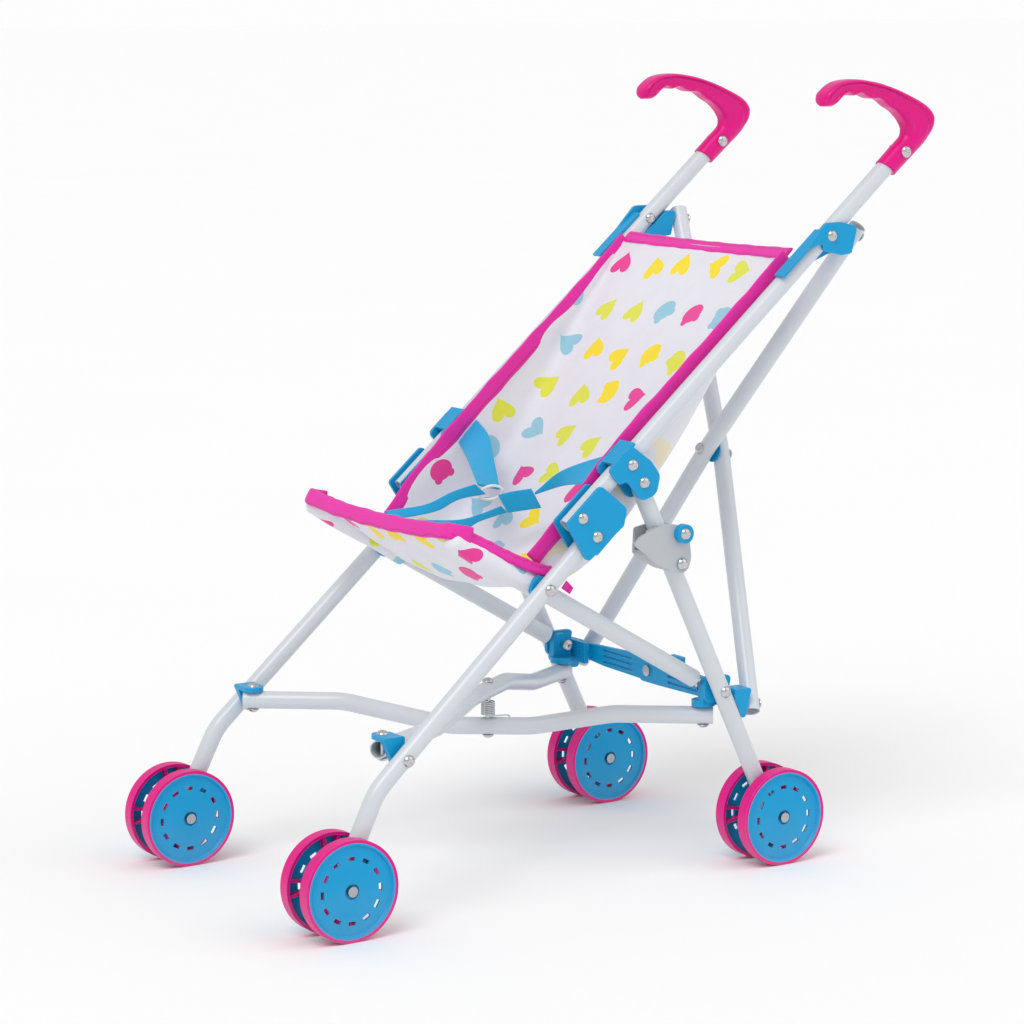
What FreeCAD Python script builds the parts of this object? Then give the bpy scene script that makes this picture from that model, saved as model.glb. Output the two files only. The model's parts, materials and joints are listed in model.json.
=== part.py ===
import FreeCAD, Part
import math
import os
from FreeCAD import Placement, Rotation, Vector

# Doll stroller of the umbrella type. Millimetres, +Z up, the front looks along -Y and
# +X is the stroller's left. The origin is on the floor under the middle of the frame.
# Heights are counted from the floor and y values in the sheet from mid wheelbase.

doc = FreeCAD.newDocument("doll_stroller")
sheet = doc.addObject("Spreadsheet::Sheet", "sizes")

SIZES = {
    # whole frame
    "mid_shift": 51.84,          # y from mid wheelbase to the middle of the whole length
    "tube_radius": 6.35,
    "tube_wall": 0.9,
    "plate": 2.3,               # outer cheek of a bracket
    "inner_plate": 2.0,
    "slack": 0.3,               # side clearance between tube and bracket
    "rivet_radius": 2.0,
    "rivet_hole": 2.05,
    "rivet_head": 4.0,
    "rivet_dome": 1.8,
    # side planes
    "frame_x": 112.0,
    "front_hub_x": 117.8,
    "seat_x": 96.5,
    # pivots of one side, in the side view
    "hinge_y": 12.4, "hinge_z": 265.8,
    "rear_top_y": 63.5, "rear_top_z": 286.4,
    "seat_pivot_y": -13.0, "seat_pivot_z": 218.0,
    "rear_pivot_y": 135.9, "rear_pivot_z": 130.0,
    "brace_top_y": 224.4, "brace_top_z": 450.2,
    "front_pivot_y": -128.0, "front_pivot_z": 114.0,
    "handle_slope": 41.0,
    "leg_slope": 42.0,
    "handle_tail": 9.6,
    "handle_reach": 366.0,
    "leg_offset": 18.3,
    # wheels
    "hub_y": 179.9, "hub_z": 35.0,
    "wheel_radius": 35.0, "wheel_width": 9.2,
    "wheel_centre": 13.4,
    "boss_radius": 6.6, "boss_reach": 2.1,
    "disc_radius": 32.7, "disc_thick": 2.2, "hub_well": 2.6,
    "slot_ring": 22.0, "slot_long": 5.4, "slot_wide": 2.8, "rib": 2.0,
    "axle_radius": 2.5, "axle_hole": 2.55, "axle_half": 18.6, "cap_radius": 3.6,
    # back brace and floor scissor
    "brace_x": 107.5, "brace_low_y": 165.0, "brace_low_z": 117.0,
    "brace_high_y": 252.8, "brace_high_z": 450.0,
    "brace_gap": 1.6,
    "scissor_x": 93.0,
    "scissor_front_y": -131.5, "scissor_front_z": 118.0,
    "scissor_rear_y": 134.0, "scissor_rear_z": 109.0,
    "scissor_cross_y": 10.0, "scissor_low_z": 99.0, "scissor_high_z": 125.5,
    "spring_radius": 5.2, "spring_bore": 4.2,
    "lock_pivot_x": 86.0, "lock_y": 149.6, "lock_z": 124.0,
    "lock_thick": 3.2, "lock_high": 18.0,
    # grip and soft parts
    "grip_width": 17.0, "grip_sleeve": 9.2,
    "sling_half": 90.0, "cloth": 1.6, "strap_thick": 1.4,
}

for row, (name, value) in enumerate(SIZES.items(), start=1):
    sheet.set("A%d" % row, name)
    sheet.set("B%d" % row, str(value))
    sheet.setAlias("B%d" % row, name)
doc.recompute()


def size(name):
    """The number that the sheet holds under this alias."""
    return float(sheet.get(name))


def bind(item, prop, formula):
    """Bind one property to the sheet; every word of the formula that is an alias is looked up."""
    words = formula.replace("(", " ( ").replace(")", " ) ").split()
    item.setExpression(prop, " ".join("sizes." + w if w in SIZES else w for w in words))


def at(across, y, z):
    """A point from its distance to the middle plane, its y from mid wheelbase and its height."""
    return Vector(across, y - size("mid_shift"), z)


def pivot(name, across):
    """A named pivot of the side view, at this distance from the middle plane."""
    return at(across, size(name + "_y"), size(name + "_z"))


def along(slope):
    """Unit vector in the side view, rising to the rear at this slope in degrees."""
    angle = math.radians(slope)
    return Vector(0, math.cos(angle), math.sin(angle))


ALONG_X = Vector(1, 0, 0)


def cylinder(name, start, direction, radius, length):
    """Cylinder from start along direction. Radius and length are formulas or numbers."""
    item = doc.addObject("Part::Cylinder", name)
    for prop, value in (("Radius", radius), ("Height", length)):
        if isinstance(value, str):
            bind(item, prop, value)
        else:
            setattr(item, prop, value)
    item.Placement = Placement(start, Rotation(Vector(0, 0, 1), direction))
    return item


def rod(name, start, end, radius):
    """Solid cylinder between two points."""
    reach = end - start
    return cylinder(name, start, reach, radius, reach.Length)


def box(name, low, high, turn=0.0, about=None):
    """Box between two corners, then turned about X by an angle round a point."""
    item = doc.addObject("Part::Box", name)
    item.Length, item.Width, item.Height = high.x - low.x, high.y - low.y, high.z - low.z
    place = Placement(low, Rotation())
    if turn:
        place = Placement(Vector(), Rotation(ALONG_X, turn), about).multiply(place)
    item.Placement = place
    return item


def cut(name, base, tools):
    """base with every tool taken away."""
    for count, tool in enumerate(tools):
        item = doc.addObject("Part::Cut", "%s_cut%d" % (name, count))
        item.Base, item.Tool = base, tool
        base = item
    return base


def fuse(name, shapes):
    """One solid from touching shapes."""
    item = doc.addObject("Part::MultiFuse", name)
    item.Shapes = shapes
    item.Refine = True
    return item


def group(name, shapes):
    """Separate solids kept together in one node."""
    item = doc.addObject("Part::Compound", name)
    item.Links = shapes
    return item


def corner_arcs(points, radius):
    """Straight runs joined by tangent arcs of one radius, or of one radius per point; open path."""
    edges = []
    start = points[0]
    for index in range(1, len(points) - 1):
        here = points[index]
        bend = radius[index - 1] if isinstance(radius, list) else radius
        back = (points[index - 1] - here).normalize()
        ahead = (points[index + 1] - here).normalize()
        half = back.getAngle(ahead) / 2
        step = bend / math.tan(half)
        first, last = here + back * step, here + ahead * step
        centre_way = (back + ahead).normalize()
        middle = here + centre_way * (bend / math.sin(half) - bend)
        edges.append(Part.LineSegment(start, first).toShape())
        edges.append(Part.Arc(first, middle, last).toShape())
        start = last
    edges.append(Part.LineSegment(start, points[-1]).toShape())
    return edges


def bent_tube(name, points, bend):
    """Round tube along straight runs joined by arcs."""
    spine = doc.addObject("Part::Feature", name + "_spine")
    spine.Shape = Part.Wire(corner_arcs(points, bend))
    parts = []
    for part, radius in (("outer", "tube_radius"), ("inner", "tube_radius - tube_wall")):
        ring = doc.addObject("Part::Circle", "%s_%s_ring" % (name, part))
        bind(ring, "Radius", radius)
        ring.Placement = Placement(points[0], Rotation(Vector(0, 0, 1), points[1] - points[0]))
        sweep = doc.addObject("Part::Sweep", "%s_%s" % (name, part))
        sweep.Sections = [ring]
        sweep.Spine = (spine, ["Edge%d" % (n + 1) for n in range(len(spine.Shape.Edges))])
        sweep.Solid = True
        sweep.Frenet = False
        parts.append(sweep)
    return cut(name, parts[0], parts[1:])


def straight_tube(name, start, end):
    """Round tube between two points."""
    outer = rod(name + "_outer", start, end, "tube_radius")
    inner = rod(name + "_inner", start, end, "tube_radius - tube_wall")
    return cut(name, outer, [inner])


def outline(points, radius):
    """Closed outline in the side view from (y, z) corners, each rounded by this radius."""
    corners = [Vector(0, y - size("mid_shift"), z) for y, z in points]
    first = (corners[0] + corners[-1]) * 0.5
    path = [first] + corners + [first]
    return Part.Wire(corner_arcs(path, radius))


def plate(name, points, radius, low_x, thickness):
    """Flat plate with a rounded outline in the side view, from low_x outwards."""
    edge = doc.addObject("Part::Feature", name + "_outline")
    edge.Shape = outline(points, radius)
    item = doc.addObject("Part::Extrusion", name)
    item.Base = edge
    item.Dir = ALONG_X
    item.DirMode = "Custom"
    item.Solid = True
    if isinstance(thickness, str):
        bind(item, "LengthFwd", thickness)
    else:
        item.LengthFwd = thickness
    item.Placement = Placement(Vector(low_x, 0, 0), Rotation())
    return item


def pin(name, centre, direction, half, heads=(1, 1)):
    """Rivet shank round a centre with a low domed head on each end that is asked for."""
    way = Vector(direction).normalize()
    shapes = [rod(name + "_shank", centre - way * half, centre + way * half, "rivet_radius")]
    for count, (head, sign) in enumerate(zip(heads, (1, -1))):
        if head:
            dome = doc.addObject("Part::Cone", "%s_head%d" % (name, count))
            bind(dome, "Radius1", "rivet_head")
            bind(dome, "Radius2", "rivet_head * 0.55")
            bind(dome, "Height", "rivet_dome")
            dome.Placement = Placement(centre + way * (half * sign),
                                       Rotation(Vector(0, 0, 1), way * sign))
            shapes.append(dome)
    return fuse(name, shapes)


def hole(name, centre, direction, radius="rivet_hole", half=30.0):
    """Cutting cylinder through a centre."""
    way = Vector(direction).normalize()
    return rod(name, centre - way * half, centre + way * half, radius)


SUBPARTS = []


def keep(item, label):
    """Name a finished sub-part; its label is its node and its file."""
    item.Label = label
    SUBPARTS.append(item)
    return item


def both_sides(item, label):
    """Keep a left sub-part and its mirror image on the right."""
    keep(item, label + "_left")
    mirror = doc.addObject("Part::Mirroring", item.Name + "_mirror")
    mirror.Source = item
    mirror.Normal = ALONG_X
    keep(mirror, label + "_right")


# Distances that several pieces share
FRAME_X = size("frame_x")
OUTER_X = FRAME_X + size("tube_radius") + size("slack")
INNER_X = FRAME_X - size("tube_radius") - size("slack") - size("inner_plate")
HANDLE_WAY = along(size("handle_slope"))
LEG_WAY = along(size("leg_slope"))
HINGE = pivot("hinge", FRAME_X)
REAR_TOP = pivot("rear_top", FRAME_X)
SEAT_PIVOT = pivot("seat_pivot", size("seat_x"))
REAR_PIVOT = pivot("rear_pivot", FRAME_X)
BRACE_TOP = pivot("brace_top", FRAME_X)
LEG_RIVET = HINGE + Vector(0, HANDLE_WAY.z, -HANDLE_WAY.y) * size("leg_offset")
FRONT_HUB = at(size("front_hub_x"), -size("hub_y"), size("hub_z"))
REAR_HUB = at(FRAME_X, size("hub_y"), size("hub_z"))
BRACE_WAY = Vector(0, size("brace_high_y") - size("brace_low_y"),
                   size("brace_high_z") - size("brace_low_z")).normalize()
BRACE_NORMAL = Vector(0, BRACE_WAY.z, -BRACE_WAY.y)
BRACKET_SIDE = 102.6


def handle_tubes():
    """Straight push tubes from the side hinges up into the grips."""
    start = HINGE - HANDLE_WAY * size("handle_tail")
    end = HINGE + HANDLE_WAY * size("handle_reach")
    tube = straight_tube("handle_tube", start, end)
    tube = cut("handle_tube_drilled", tube, [hole("handle_hinge_hole", HINGE, ALONG_X),
                                             hole("handle_brace_hole", BRACE_TOP, ALONG_X)])
    both_sides(tube, "handle_tube")


def grips():
    """Hooked push grips: a sleeve on the tube and a curved finger hook turned forward."""
    outer = [(274.0, 497.0), (286.5, 487.0), (318.0, 522.0), (319.0, 541.0), (290.0, 553.0),
             (262.0, 560.0), (238.0, 560.5), (219.0, 548.0), (222.0, 541.0), (242.0, 550.0),
             (272.0, 540.0), (297.0, 525.0)]
    radii = [3.0, 3.0, 12.0, 12.0, 16.0, 16.0, 10.0, 3.0, 3.0, 8.0, 8.0, 8.0]
    width = size("grip_width")
    hook = plate("grip_hook", outer, radii, FRAME_X - width / 2, "grip_width")
    start = HINGE + HANDLE_WAY * (size("handle_reach") - 22.0)
    sleeve = cylinder("grip_sleeve", start, HANDLE_WAY, "grip_sleeve", 34.0)
    bore = cylinder("grip_bore", start - HANDLE_WAY, HANDLE_WAY, "tube_radius + 0.05", 23.2)
    body = cut("grip", fuse("grip_whole", [hook, sleeve]), [bore])
    both_sides(body, "grip")


def handle_brackets():
    """Upper brackets fixed on the push tubes; the rear legs hang between their cheeks."""
    corners = [(52.0, 313.5), (33.5, 297.0), (42.5, 286.5), (49.0, 288.5), (60.5, 273.5),
               (73.5, 277.5), (76.5, 291.0), (69.0, 301.0)]
    radii = [5.0, 4.0, 3.0, 4.0, 6.0, 8.0, 7.0, 10.0]
    outer = plate("handle_bracket_outer", corners, radii, OUTER_X, "plate")
    inner = plate("handle_bracket_inner", corners, radii, INNER_X, "inner_plate")
    ear = at(0, 51.3, 300.6)
    bridge = box("handle_bracket_bridge", Vector(INNER_X, ear.y - 9, ear.z + 6.7),
                 Vector(OUTER_X + size("plate"), ear.y + 12, ear.z + 9.0), size("handle_slope"),
                 Vector(0, ear.y, ear.z))
    body = fuse("handle_bracket_whole", [outer, inner, bridge])
    drilled = cut("handle_bracket", body, [hole("handle_bracket_bore", REAR_TOP, ALONG_X,
                                                "rivet_radius")])
    both_sides(drilled, "handle_bracket")
    half = (OUTER_X + size("plate") - INNER_X) / 2
    top = pin("rear_leg_pin", Vector(INNER_X + half, REAR_TOP.y, REAR_TOP.z), ALONG_X, half)
    both_sides(top, "rear_leg_pin")


def seat_brackets():
    """Side hinge brackets: two cheeks round the push tube and the front leg, closed behind."""
    corners = [(-17.5, -7.0), (-12.0, 25.5), (25.5, 25.0), (30.0, -3.0), (20.0, -10.0)]
    turn = Rotation(ALONG_X, size("leg_slope"))
    points = []
    for run, rise in corners:
        spot = LEG_RIVET + turn.multVec(Vector(0, run, rise))
        points.append((spot.y + size("mid_shift"), spot.z))
    radii = [3.0, 3.0, 4.0, 5.0, 3.0]
    cheek_x = OUTER_X + 0.35
    outer = plate("seat_bracket_outer", points, radii, cheek_x, "plate")
    inner = plate("seat_bracket_inner", points, radii, INNER_X, "inner_plate")
    back = box("seat_bracket_back", Vector(INNER_X, LEG_RIVET.y - 9, LEG_RIVET.z - 9.2),
               Vector(cheek_x + size("plate"), LEG_RIVET.y + 19, LEG_RIVET.z - 6.8),
               size("leg_slope"), Vector(0, LEG_RIVET.y, LEG_RIVET.z))
    body = fuse("seat_bracket_whole", [outer, inner, back])
    bores = [hole("seat_bracket_bore%d" % count, spot, ALONG_X, "rivet_radius")
             for count, spot in enumerate((HINGE, LEG_RIVET))]
    bracket = cut("seat_bracket", body, bores)
    half = (cheek_x + size("plate") - INNER_X) / 2
    middle = INNER_X + half
    rivets = [pin("side_rivet%d" % count, Vector(middle, spot.y, spot.z), ALONG_X, half)
              for count, spot in enumerate((HINGE, LEG_RIVET))]
    return bracket, rivets


def front_legs(bracket, side_rivets):
    """Front legs: a long straight run, one bend and a steeper foot down to the axle."""
    top = LEG_RIVET + LEG_WAY * 16.0
    knee = at(116.4, -150.0, 0)
    knee.z = LEG_RIVET.z - (LEG_RIVET.y - knee.y) * math.tan(math.radians(size("leg_slope")))
    foot = FRONT_HUB + (FRONT_HUB - knee).normalize() * 8.0
    tube = bent_tube("front_leg_tube", [top, knee, foot], 45.0)
    share = (LEG_RIVET.y - SEAT_PIVOT.y) / (LEG_RIVET.y - knee.y)
    leg_x = FRAME_X + share * (knee.x - FRAME_X)
    bores = [hole("front_leg_bore", LEG_RIVET, ALONG_X, "rivet_radius"),
             hole("front_leg_seat_bore", SEAT_PIVOT, ALONG_X, "rivet_radius"),
             hole("front_axle_hole", FRONT_HUB, ALONG_X, "axle_hole"),
             hole("front_leg_link_bore", pivot("front_pivot", FRAME_X), ALONG_X, "rivet_radius")]
    both_sides(cut("front_leg", tube, bores), "front_leg")
    seat_side = SEAT_PIVOT.x + size("tube_radius") + 0.05
    washer = cylinder("seat_spacer_disc", Vector(seat_side, SEAT_PIVOT.y, SEAT_PIVOT.z), ALONG_X,
                      8.0, leg_x - size("tube_radius") + 0.6 - seat_side)
    start = SEAT_PIVOT - ALONG_X * (size("tube_radius") + 0.1)
    end = Vector(leg_x + size("tube_radius") + 0.3, SEAT_PIVOT.y, SEAT_PIVOT.z)
    half = (end.x - start.x) / 2
    seat_pin = pin("seat_pin", (start + end) * 0.5, ALONG_X, half)
    spacer = cut("seat_spacer", washer, [tube, hole("seat_spacer_bore", SEAT_PIVOT, ALONG_X,
                                                    "rivet_radius")])
    both_sides(group("seat_bracket_set", [bracket, spacer]), "seat_bracket")
    link = pivot("front_pivot", 0)
    inside, outside = BRACKET_SIDE - 0.1, 122.6
    across = pin("front_leg_rivet", Vector((inside + outside) / 2, link.y, link.z), ALONG_X,
                 (outside - inside) / 2)
    both_sides(group("leg_rivets", side_rivets + [seat_pin, across]), "leg_rivets")


def rear_legs():
    """Straight rear legs with the through pin that carries both rear brackets."""
    way = (REAR_HUB - REAR_TOP).normalize()
    tube = straight_tube("rear_leg_tube", REAR_TOP - way * 7.5, REAR_HUB + way * 8.0)
    bores = [hole("rear_leg_top_hole", REAR_TOP, ALONG_X),
             hole("rear_leg_link_bore", REAR_PIVOT, ALONG_X, "rivet_radius"),
             hole("rear_axle_hole", REAR_HUB, ALONG_X, "axle_hole")]
    both_sides(cut("rear_leg", tube, bores), "rear_leg")
    inside, outside = 86.4, FRAME_X + size("tube_radius")
    rivet = pin("rear_link_pin", Vector((outside + inside) / 2, REAR_PIVOT.y, REAR_PIVOT.z),
                ALONG_X, (outside - inside) / 2)
    both_sides(rivet, "rear_link_pin")


def seat_tubes():
    """Seat tubes inside the legs: the front ends carry the sling, the rear ends meet the legs."""
    back = REAR_PIVOT - SEAT_PIVOT
    way = Vector(0, back.y, back.z).normalize()
    start = SEAT_PIVOT - way * 72.0
    end = SEAT_PIVOT + way * 158.0
    tube = straight_tube("seat_tube_plain", start, end)
    tube = cut("seat_tube", tube, [hole("seat_tube_hole", SEAT_PIVOT, ALONG_X)])
    both_sides(tube, "seat_tube")


def top_brackets():
    """Brackets that swivel on the push tubes and carry the back brace.

    The outer cheek covers the tube and runs on into an arm along the top of it; a second arm
    runs below the tube on its inner side. The rivet's inner head lies on the bare tube.
    """
    outer_line = [(8.0, 9.5), (-6.0, 9.5), (-22.2, -7.9), (-19.4, -8.1), (-8.5, -4.7),
                  (-8.0, -10.0), (8.0, -14.0), (17.3, -13.0), (22.2, 6.0)]
    inner_line = [(13.6, 5.7), (-35.4, -35.5), (-33.0, -37.7), (-12.9, -21.8), (8.0, -14.0),
                  (17.3, -13.0), (22.2, 6.0)]
    web_line = [(11.5, 1.0), (22.2, 6.0), (17.3, -13.0), (9.5, -13.0)]

    def round_pivot(line):
        """Corners counted from the bracket's own pivot."""
        return [(size("brace_top_y") + y, size("brace_top_z") + z) for y, z in line]

    far_x = OUTER_X + size("plate")
    outer = plate("top_bracket_outer", round_pivot(outer_line),
                  [4.0, 6.0, 0.5, 0.5, 2.0, 2.0, 3.0, 3.0, 3.0], OUTER_X, "plate")
    inner = plate("top_bracket_inner", round_pivot(inner_line),
                  [1.0, 1.0, 1.0, 12.0, 6.0, 3.0, 3.0], INNER_X, "inner_plate")
    block = plate("top_bracket_web", round_pivot(web_line), 1.2, INNER_X, far_x - INNER_X)
    lift, arm_thick = size("tube_radius") + 0.4, 1.9
    arm = box("top_bracket_arm", BRACE_TOP + Vector(-1.5, -50.0, lift),
              Vector(far_x, BRACE_TOP.y - 3.0, BRACE_TOP.z + lift + arm_thick),
              size("handle_slope"), BRACE_TOP)
    body = fuse("top_bracket_whole", [outer, inner, block, arm])
    high = Vector(size("brace_x"), at(0, size("brace_high_y"), 0).y, size("brace_high_z"))
    bores = [hole("top_bracket_bore", BRACE_TOP, ALONG_X, "rivet_radius"),
             hole("top_bracket_link", high, BRACE_NORMAL, "rivet_radius", 24.0)]
    both_sides(cut("top_bracket", body, bores), "top_bracket")
    near_x = FRAME_X - size("tube_radius") - 0.05
    half = (far_x - near_x) / 2
    side = pin("top_side_rivet", Vector(near_x + half, BRACE_TOP.y, BRACE_TOP.z), ALONG_X, half)
    link = pin("top_link_rivet", high + BRACE_NORMAL * -4.0, BRACE_NORMAL,
               4.0 + size("tube_radius") + 0.4, (1, 0))
    both_sides(group("top_rivets", [side, link]), "top_rivets")


def front_brackets():
    """Brackets on the inner side of the front legs; a ledge lies over each scissor end."""
    spot = Vector(size("scissor_x"), at(0, size("scissor_front_y"), 0).y, size("scissor_front_z"))
    top = spot.z + size("tube_radius") + 0.4
    y = size("scissor_front_y")
    web = plate("front_bracket_web", [(y - 8.5, top + 3.2), (y + 9.0, top + 3.2),
                                      (y + 8.0, top - 16.0), (y + 0.5, top - 17.0)],
                [1.5, 1.5, 3.0, 3.0], BRACKET_SIDE, 5.2)
    shelf = box("front_bracket_shelf", Vector(spot.x, spot.y - 7.5, top),
                Vector(BRACKET_SIDE + 1.0, spot.y + 7.5, top + 3.2))
    nose = cylinder("front_bracket_nose", Vector(spot.x, spot.y, top), Vector(0, 0, 1), 7.5, 3.2)
    body = fuse("front_bracket_whole", [web, shelf, nose])
    bores = [hole("front_bracket_rivet_bore", spot, Vector(0, 0, 1)),
             hole("front_bracket_leg_bore", pivot("front_pivot", FRAME_X), ALONG_X)]
    both_sides(cut("front_bracket", body, bores), "front_bracket")


def rear_cups():
    """Front halves of the rear brackets: a ledge over each scissor end and an ear on the pin."""
    spot = Vector(size("scissor_x"), at(0, size("scissor_rear_y"), 0).y, size("scissor_rear_z"))
    top = spot.z + size("tube_radius") + 1.0
    ledge = cylinder("rear_cup_ledge", Vector(spot.x, spot.y, top), Vector(0, 0, 1), 8.5, 4.2)
    ear = plate("rear_cup_ear", [(127.5, top + 1.0), (144.0, top + 1.0), (143.5, 138.0),
                                 (128.5, 138.0)], [1.5, 1.5, 7.0, 7.0], 95.0, 6.2)
    body = fuse("rear_cup_whole", [ledge, ear])
    both_sides(cut("rear_cup", body, [hole("rear_cup_bore", REAR_PIVOT, ALONG_X)]), "rear_cup")


def rear_blocks():
    """Rear halves of the rear brackets: they hold the lower brace ends and the lock bar."""
    face = at(0, size("brace_low_y"), 0).y - size("tube_radius") - 1.5
    pad = at(0, size("lock_y"), 0).y
    mid = size("mid_shift")
    cheek = plate("rear_block_cheek", [(126.5, 120.5), (146.0, 120.5), (150.0, 139.0),
                                       (126.5, 139.0)], [5.0, 3.0, 3.0, 6.0], 101.6, 3.4)
    slope = BRACE_NORMAL.z / BRACE_NORMAL.y
    low = face + mid - (109.0 - size("brace_low_z")) * slope
    high = face + mid - (130.0 - size("brace_low_z")) * slope
    back = plate("rear_block_back", [(pad + mid - 4.0, 109.0), (low, 109.0), (high, 130.0),
                                     (pad + mid - 4.0, 130.0)], 2.0, 101.6, 13.9)
    arm = box("rear_block_arm", Vector(size("lock_pivot_x") - 7.0, pad - 3.6, 116.0),
              Vector(103.0, pad - 0.3, 132.0))
    join = box("rear_block_join", Vector(101.6, 145.0 - mid, 116.0),
               Vector(105.0, face - 2.0, 130.0))
    body = fuse("rear_block_whole", [cheek, back, arm, join])
    clear = cylinder("rear_block_leg_room", REAR_TOP, REAR_HUB - REAR_TOP,
                     "tube_radius + 0.35", 300.0)
    lock_spot = Vector(size("lock_pivot_x"), pad, size("lock_z"))
    cut_body = cut("rear_block", body, [hole("rear_block_bore", REAR_PIVOT, ALONG_X), clear,
                                        hole("rear_block_lock", lock_spot, Vector(0, 1, 0),
                                             3.05, 9.0)])
    both_sides(cut_body, "rear_block")


def back_brace():
    """Two long tubes crossing behind the sling, each a little bent at the middle."""
    gap = size("tube_radius") + size("brace_gap") / 2
    low_y, high_y = size("brace_low_y"), size("brace_high_y")
    names = (("back_brace_front", 1, -1), ("back_brace_rear", -1, 1))
    for name, side, lay in names:
        high = at(side * size("brace_x"), high_y, size("brace_high_z"))
        low = at(-side * size("brace_x"), low_y, size("brace_low_z"))
        middle = (high + low) * 0.5 + BRACE_NORMAL * (gap * lay)
        up = (high - middle).normalize()
        down = (low - middle).normalize()
        tube = bent_tube(name + "_tube", [high + up * 7.0, middle, low + down * 7.0], 160.0)
        bores = [hole(name + "_top_hole", high, BRACE_NORMAL),
                 hole(name + "_low_bore", low, BRACE_NORMAL, "rivet_radius", 20.0),
                 hole(name + "_mid_bore", middle, BRACE_NORMAL, "rivet_radius", 20.0)]
        keep(cut(name, tube, bores), name)
        foot = pin(name + "_foot", low + BRACE_NORMAL * 0.5, BRACE_NORMAL,
                   size("tube_radius") - 0.1, (1, 0))
        centre = pin(name + "_centre", middle + BRACE_NORMAL * (0.2 * lay), BRACE_NORMAL,
                     size("tube_radius") + 0.1, (lay > 0, lay < 0))
        keep(group(name + "_rivets", [foot, centre]), name + "_rivets")
    cross = at(0, (low_y + high_y) / 2, (size("brace_low_z") + size("brace_high_z")) / 2)
    washer = cylinder("brace_washer_disc", cross - BRACE_NORMAL * (size("brace_gap") / 2 - 0.45),
                      BRACE_NORMAL, 8.0, "brace_gap - 0.9")
    keep(cut("brace_washer", washer, [hole("brace_washer_bore", cross, BRACE_NORMAL, 2.6)]),
         "brace_spacer")


def floor_scissor():
    """Two wavy tubes crossing under the seat with a coil spring between them."""
    waves = {
        "scissor_tube_lower": (-1, size("scissor_low_z"), (0.2, 117.5), (0.41, None),
                               (0.62, None), (0.8, 109.5)),
        "scissor_tube_upper": (1, size("scissor_high_z"), (0.28, 113.5), (0.45, None),
                               (0.64, None), (0.82, 112.0)),
    }
    heights = [size("scissor_high_z"), size("scissor_low_z")]
    for name, (side, height, *stations) in waves.items():
        front = at(side * size("scissor_x"), size("scissor_front_y"), size("scissor_front_z"))
        rear = at(-side * size("scissor_x"), size("scissor_rear_y"), size("scissor_rear_z"))
        centre = at(0, size("scissor_cross_y"), height)
        first, last = [spot for spot in stations if spot[1] is not None]
        run = Vector(rear.x - front.x, rear.y - front.y, 0)
        level = run / run.Length
        path = [front + run * first[0]]
        path[0].z = first[1]
        path += [centre - level * 28.0, centre + level * 32.0]
        path.append(front + run * last[0])
        path[-1].z = last[1]
        start = front - (path[0] - front).normalize() * 7.0
        end = rear + (rear - path[-1]).normalize() * 7.0
        tube = bent_tube(name + "_tube", [start] + path + [end], 55.0)
        up = Vector(0, 0, 1)
        bores = [hole(name + "_front_hole", front, up, "rivet_radius"),
                 hole(name + "_mid_bore", centre, up, "rivet_radius", 12.0),
                 hole(name + "_foot_bore", rear - Vector(0, 0, 8.0), up, "rivet_radius", 5.0)]
        keep(cut(name, tube, bores), name)
        upper = height == heights[0]
        reach = heights[0] - heights[1] - 0.6 if upper else size("tube_radius") * 2
        half = reach / 2 + 0.1
        lift = size("tube_radius") + 0.2 - half if upper else 0.0
        middle = pin(name + "_centre", centre + up * lift, up, half, (upper, not upper))
        foot = pin(name + "_foot", rear - Vector(0, 0, size("tube_radius") - 1.2), up, 1.6, (0, 1))
        shank = pin(name + "_front", front + Vector(0, 0, 1.7), up, size("tube_radius") + 2.0)
        keep(group(name + "_rivets", [shank, middle, foot]), name + "_rivets")
    low = at(0, size("scissor_cross_y"), heights[1] + size("tube_radius") + 0.4)
    length = heights[0] - heights[1] - size("tube_radius") * 2 - 0.8
    coil = cylinder("spring_outer", low, Vector(0, 0, 1), "spring_radius", length)
    room = cylinder("spring_room", low, Vector(0, 0, 1), "spring_bore", length)
    keep(cut("scissor_spring", coil, [room]), "scissor_spring")


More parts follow.
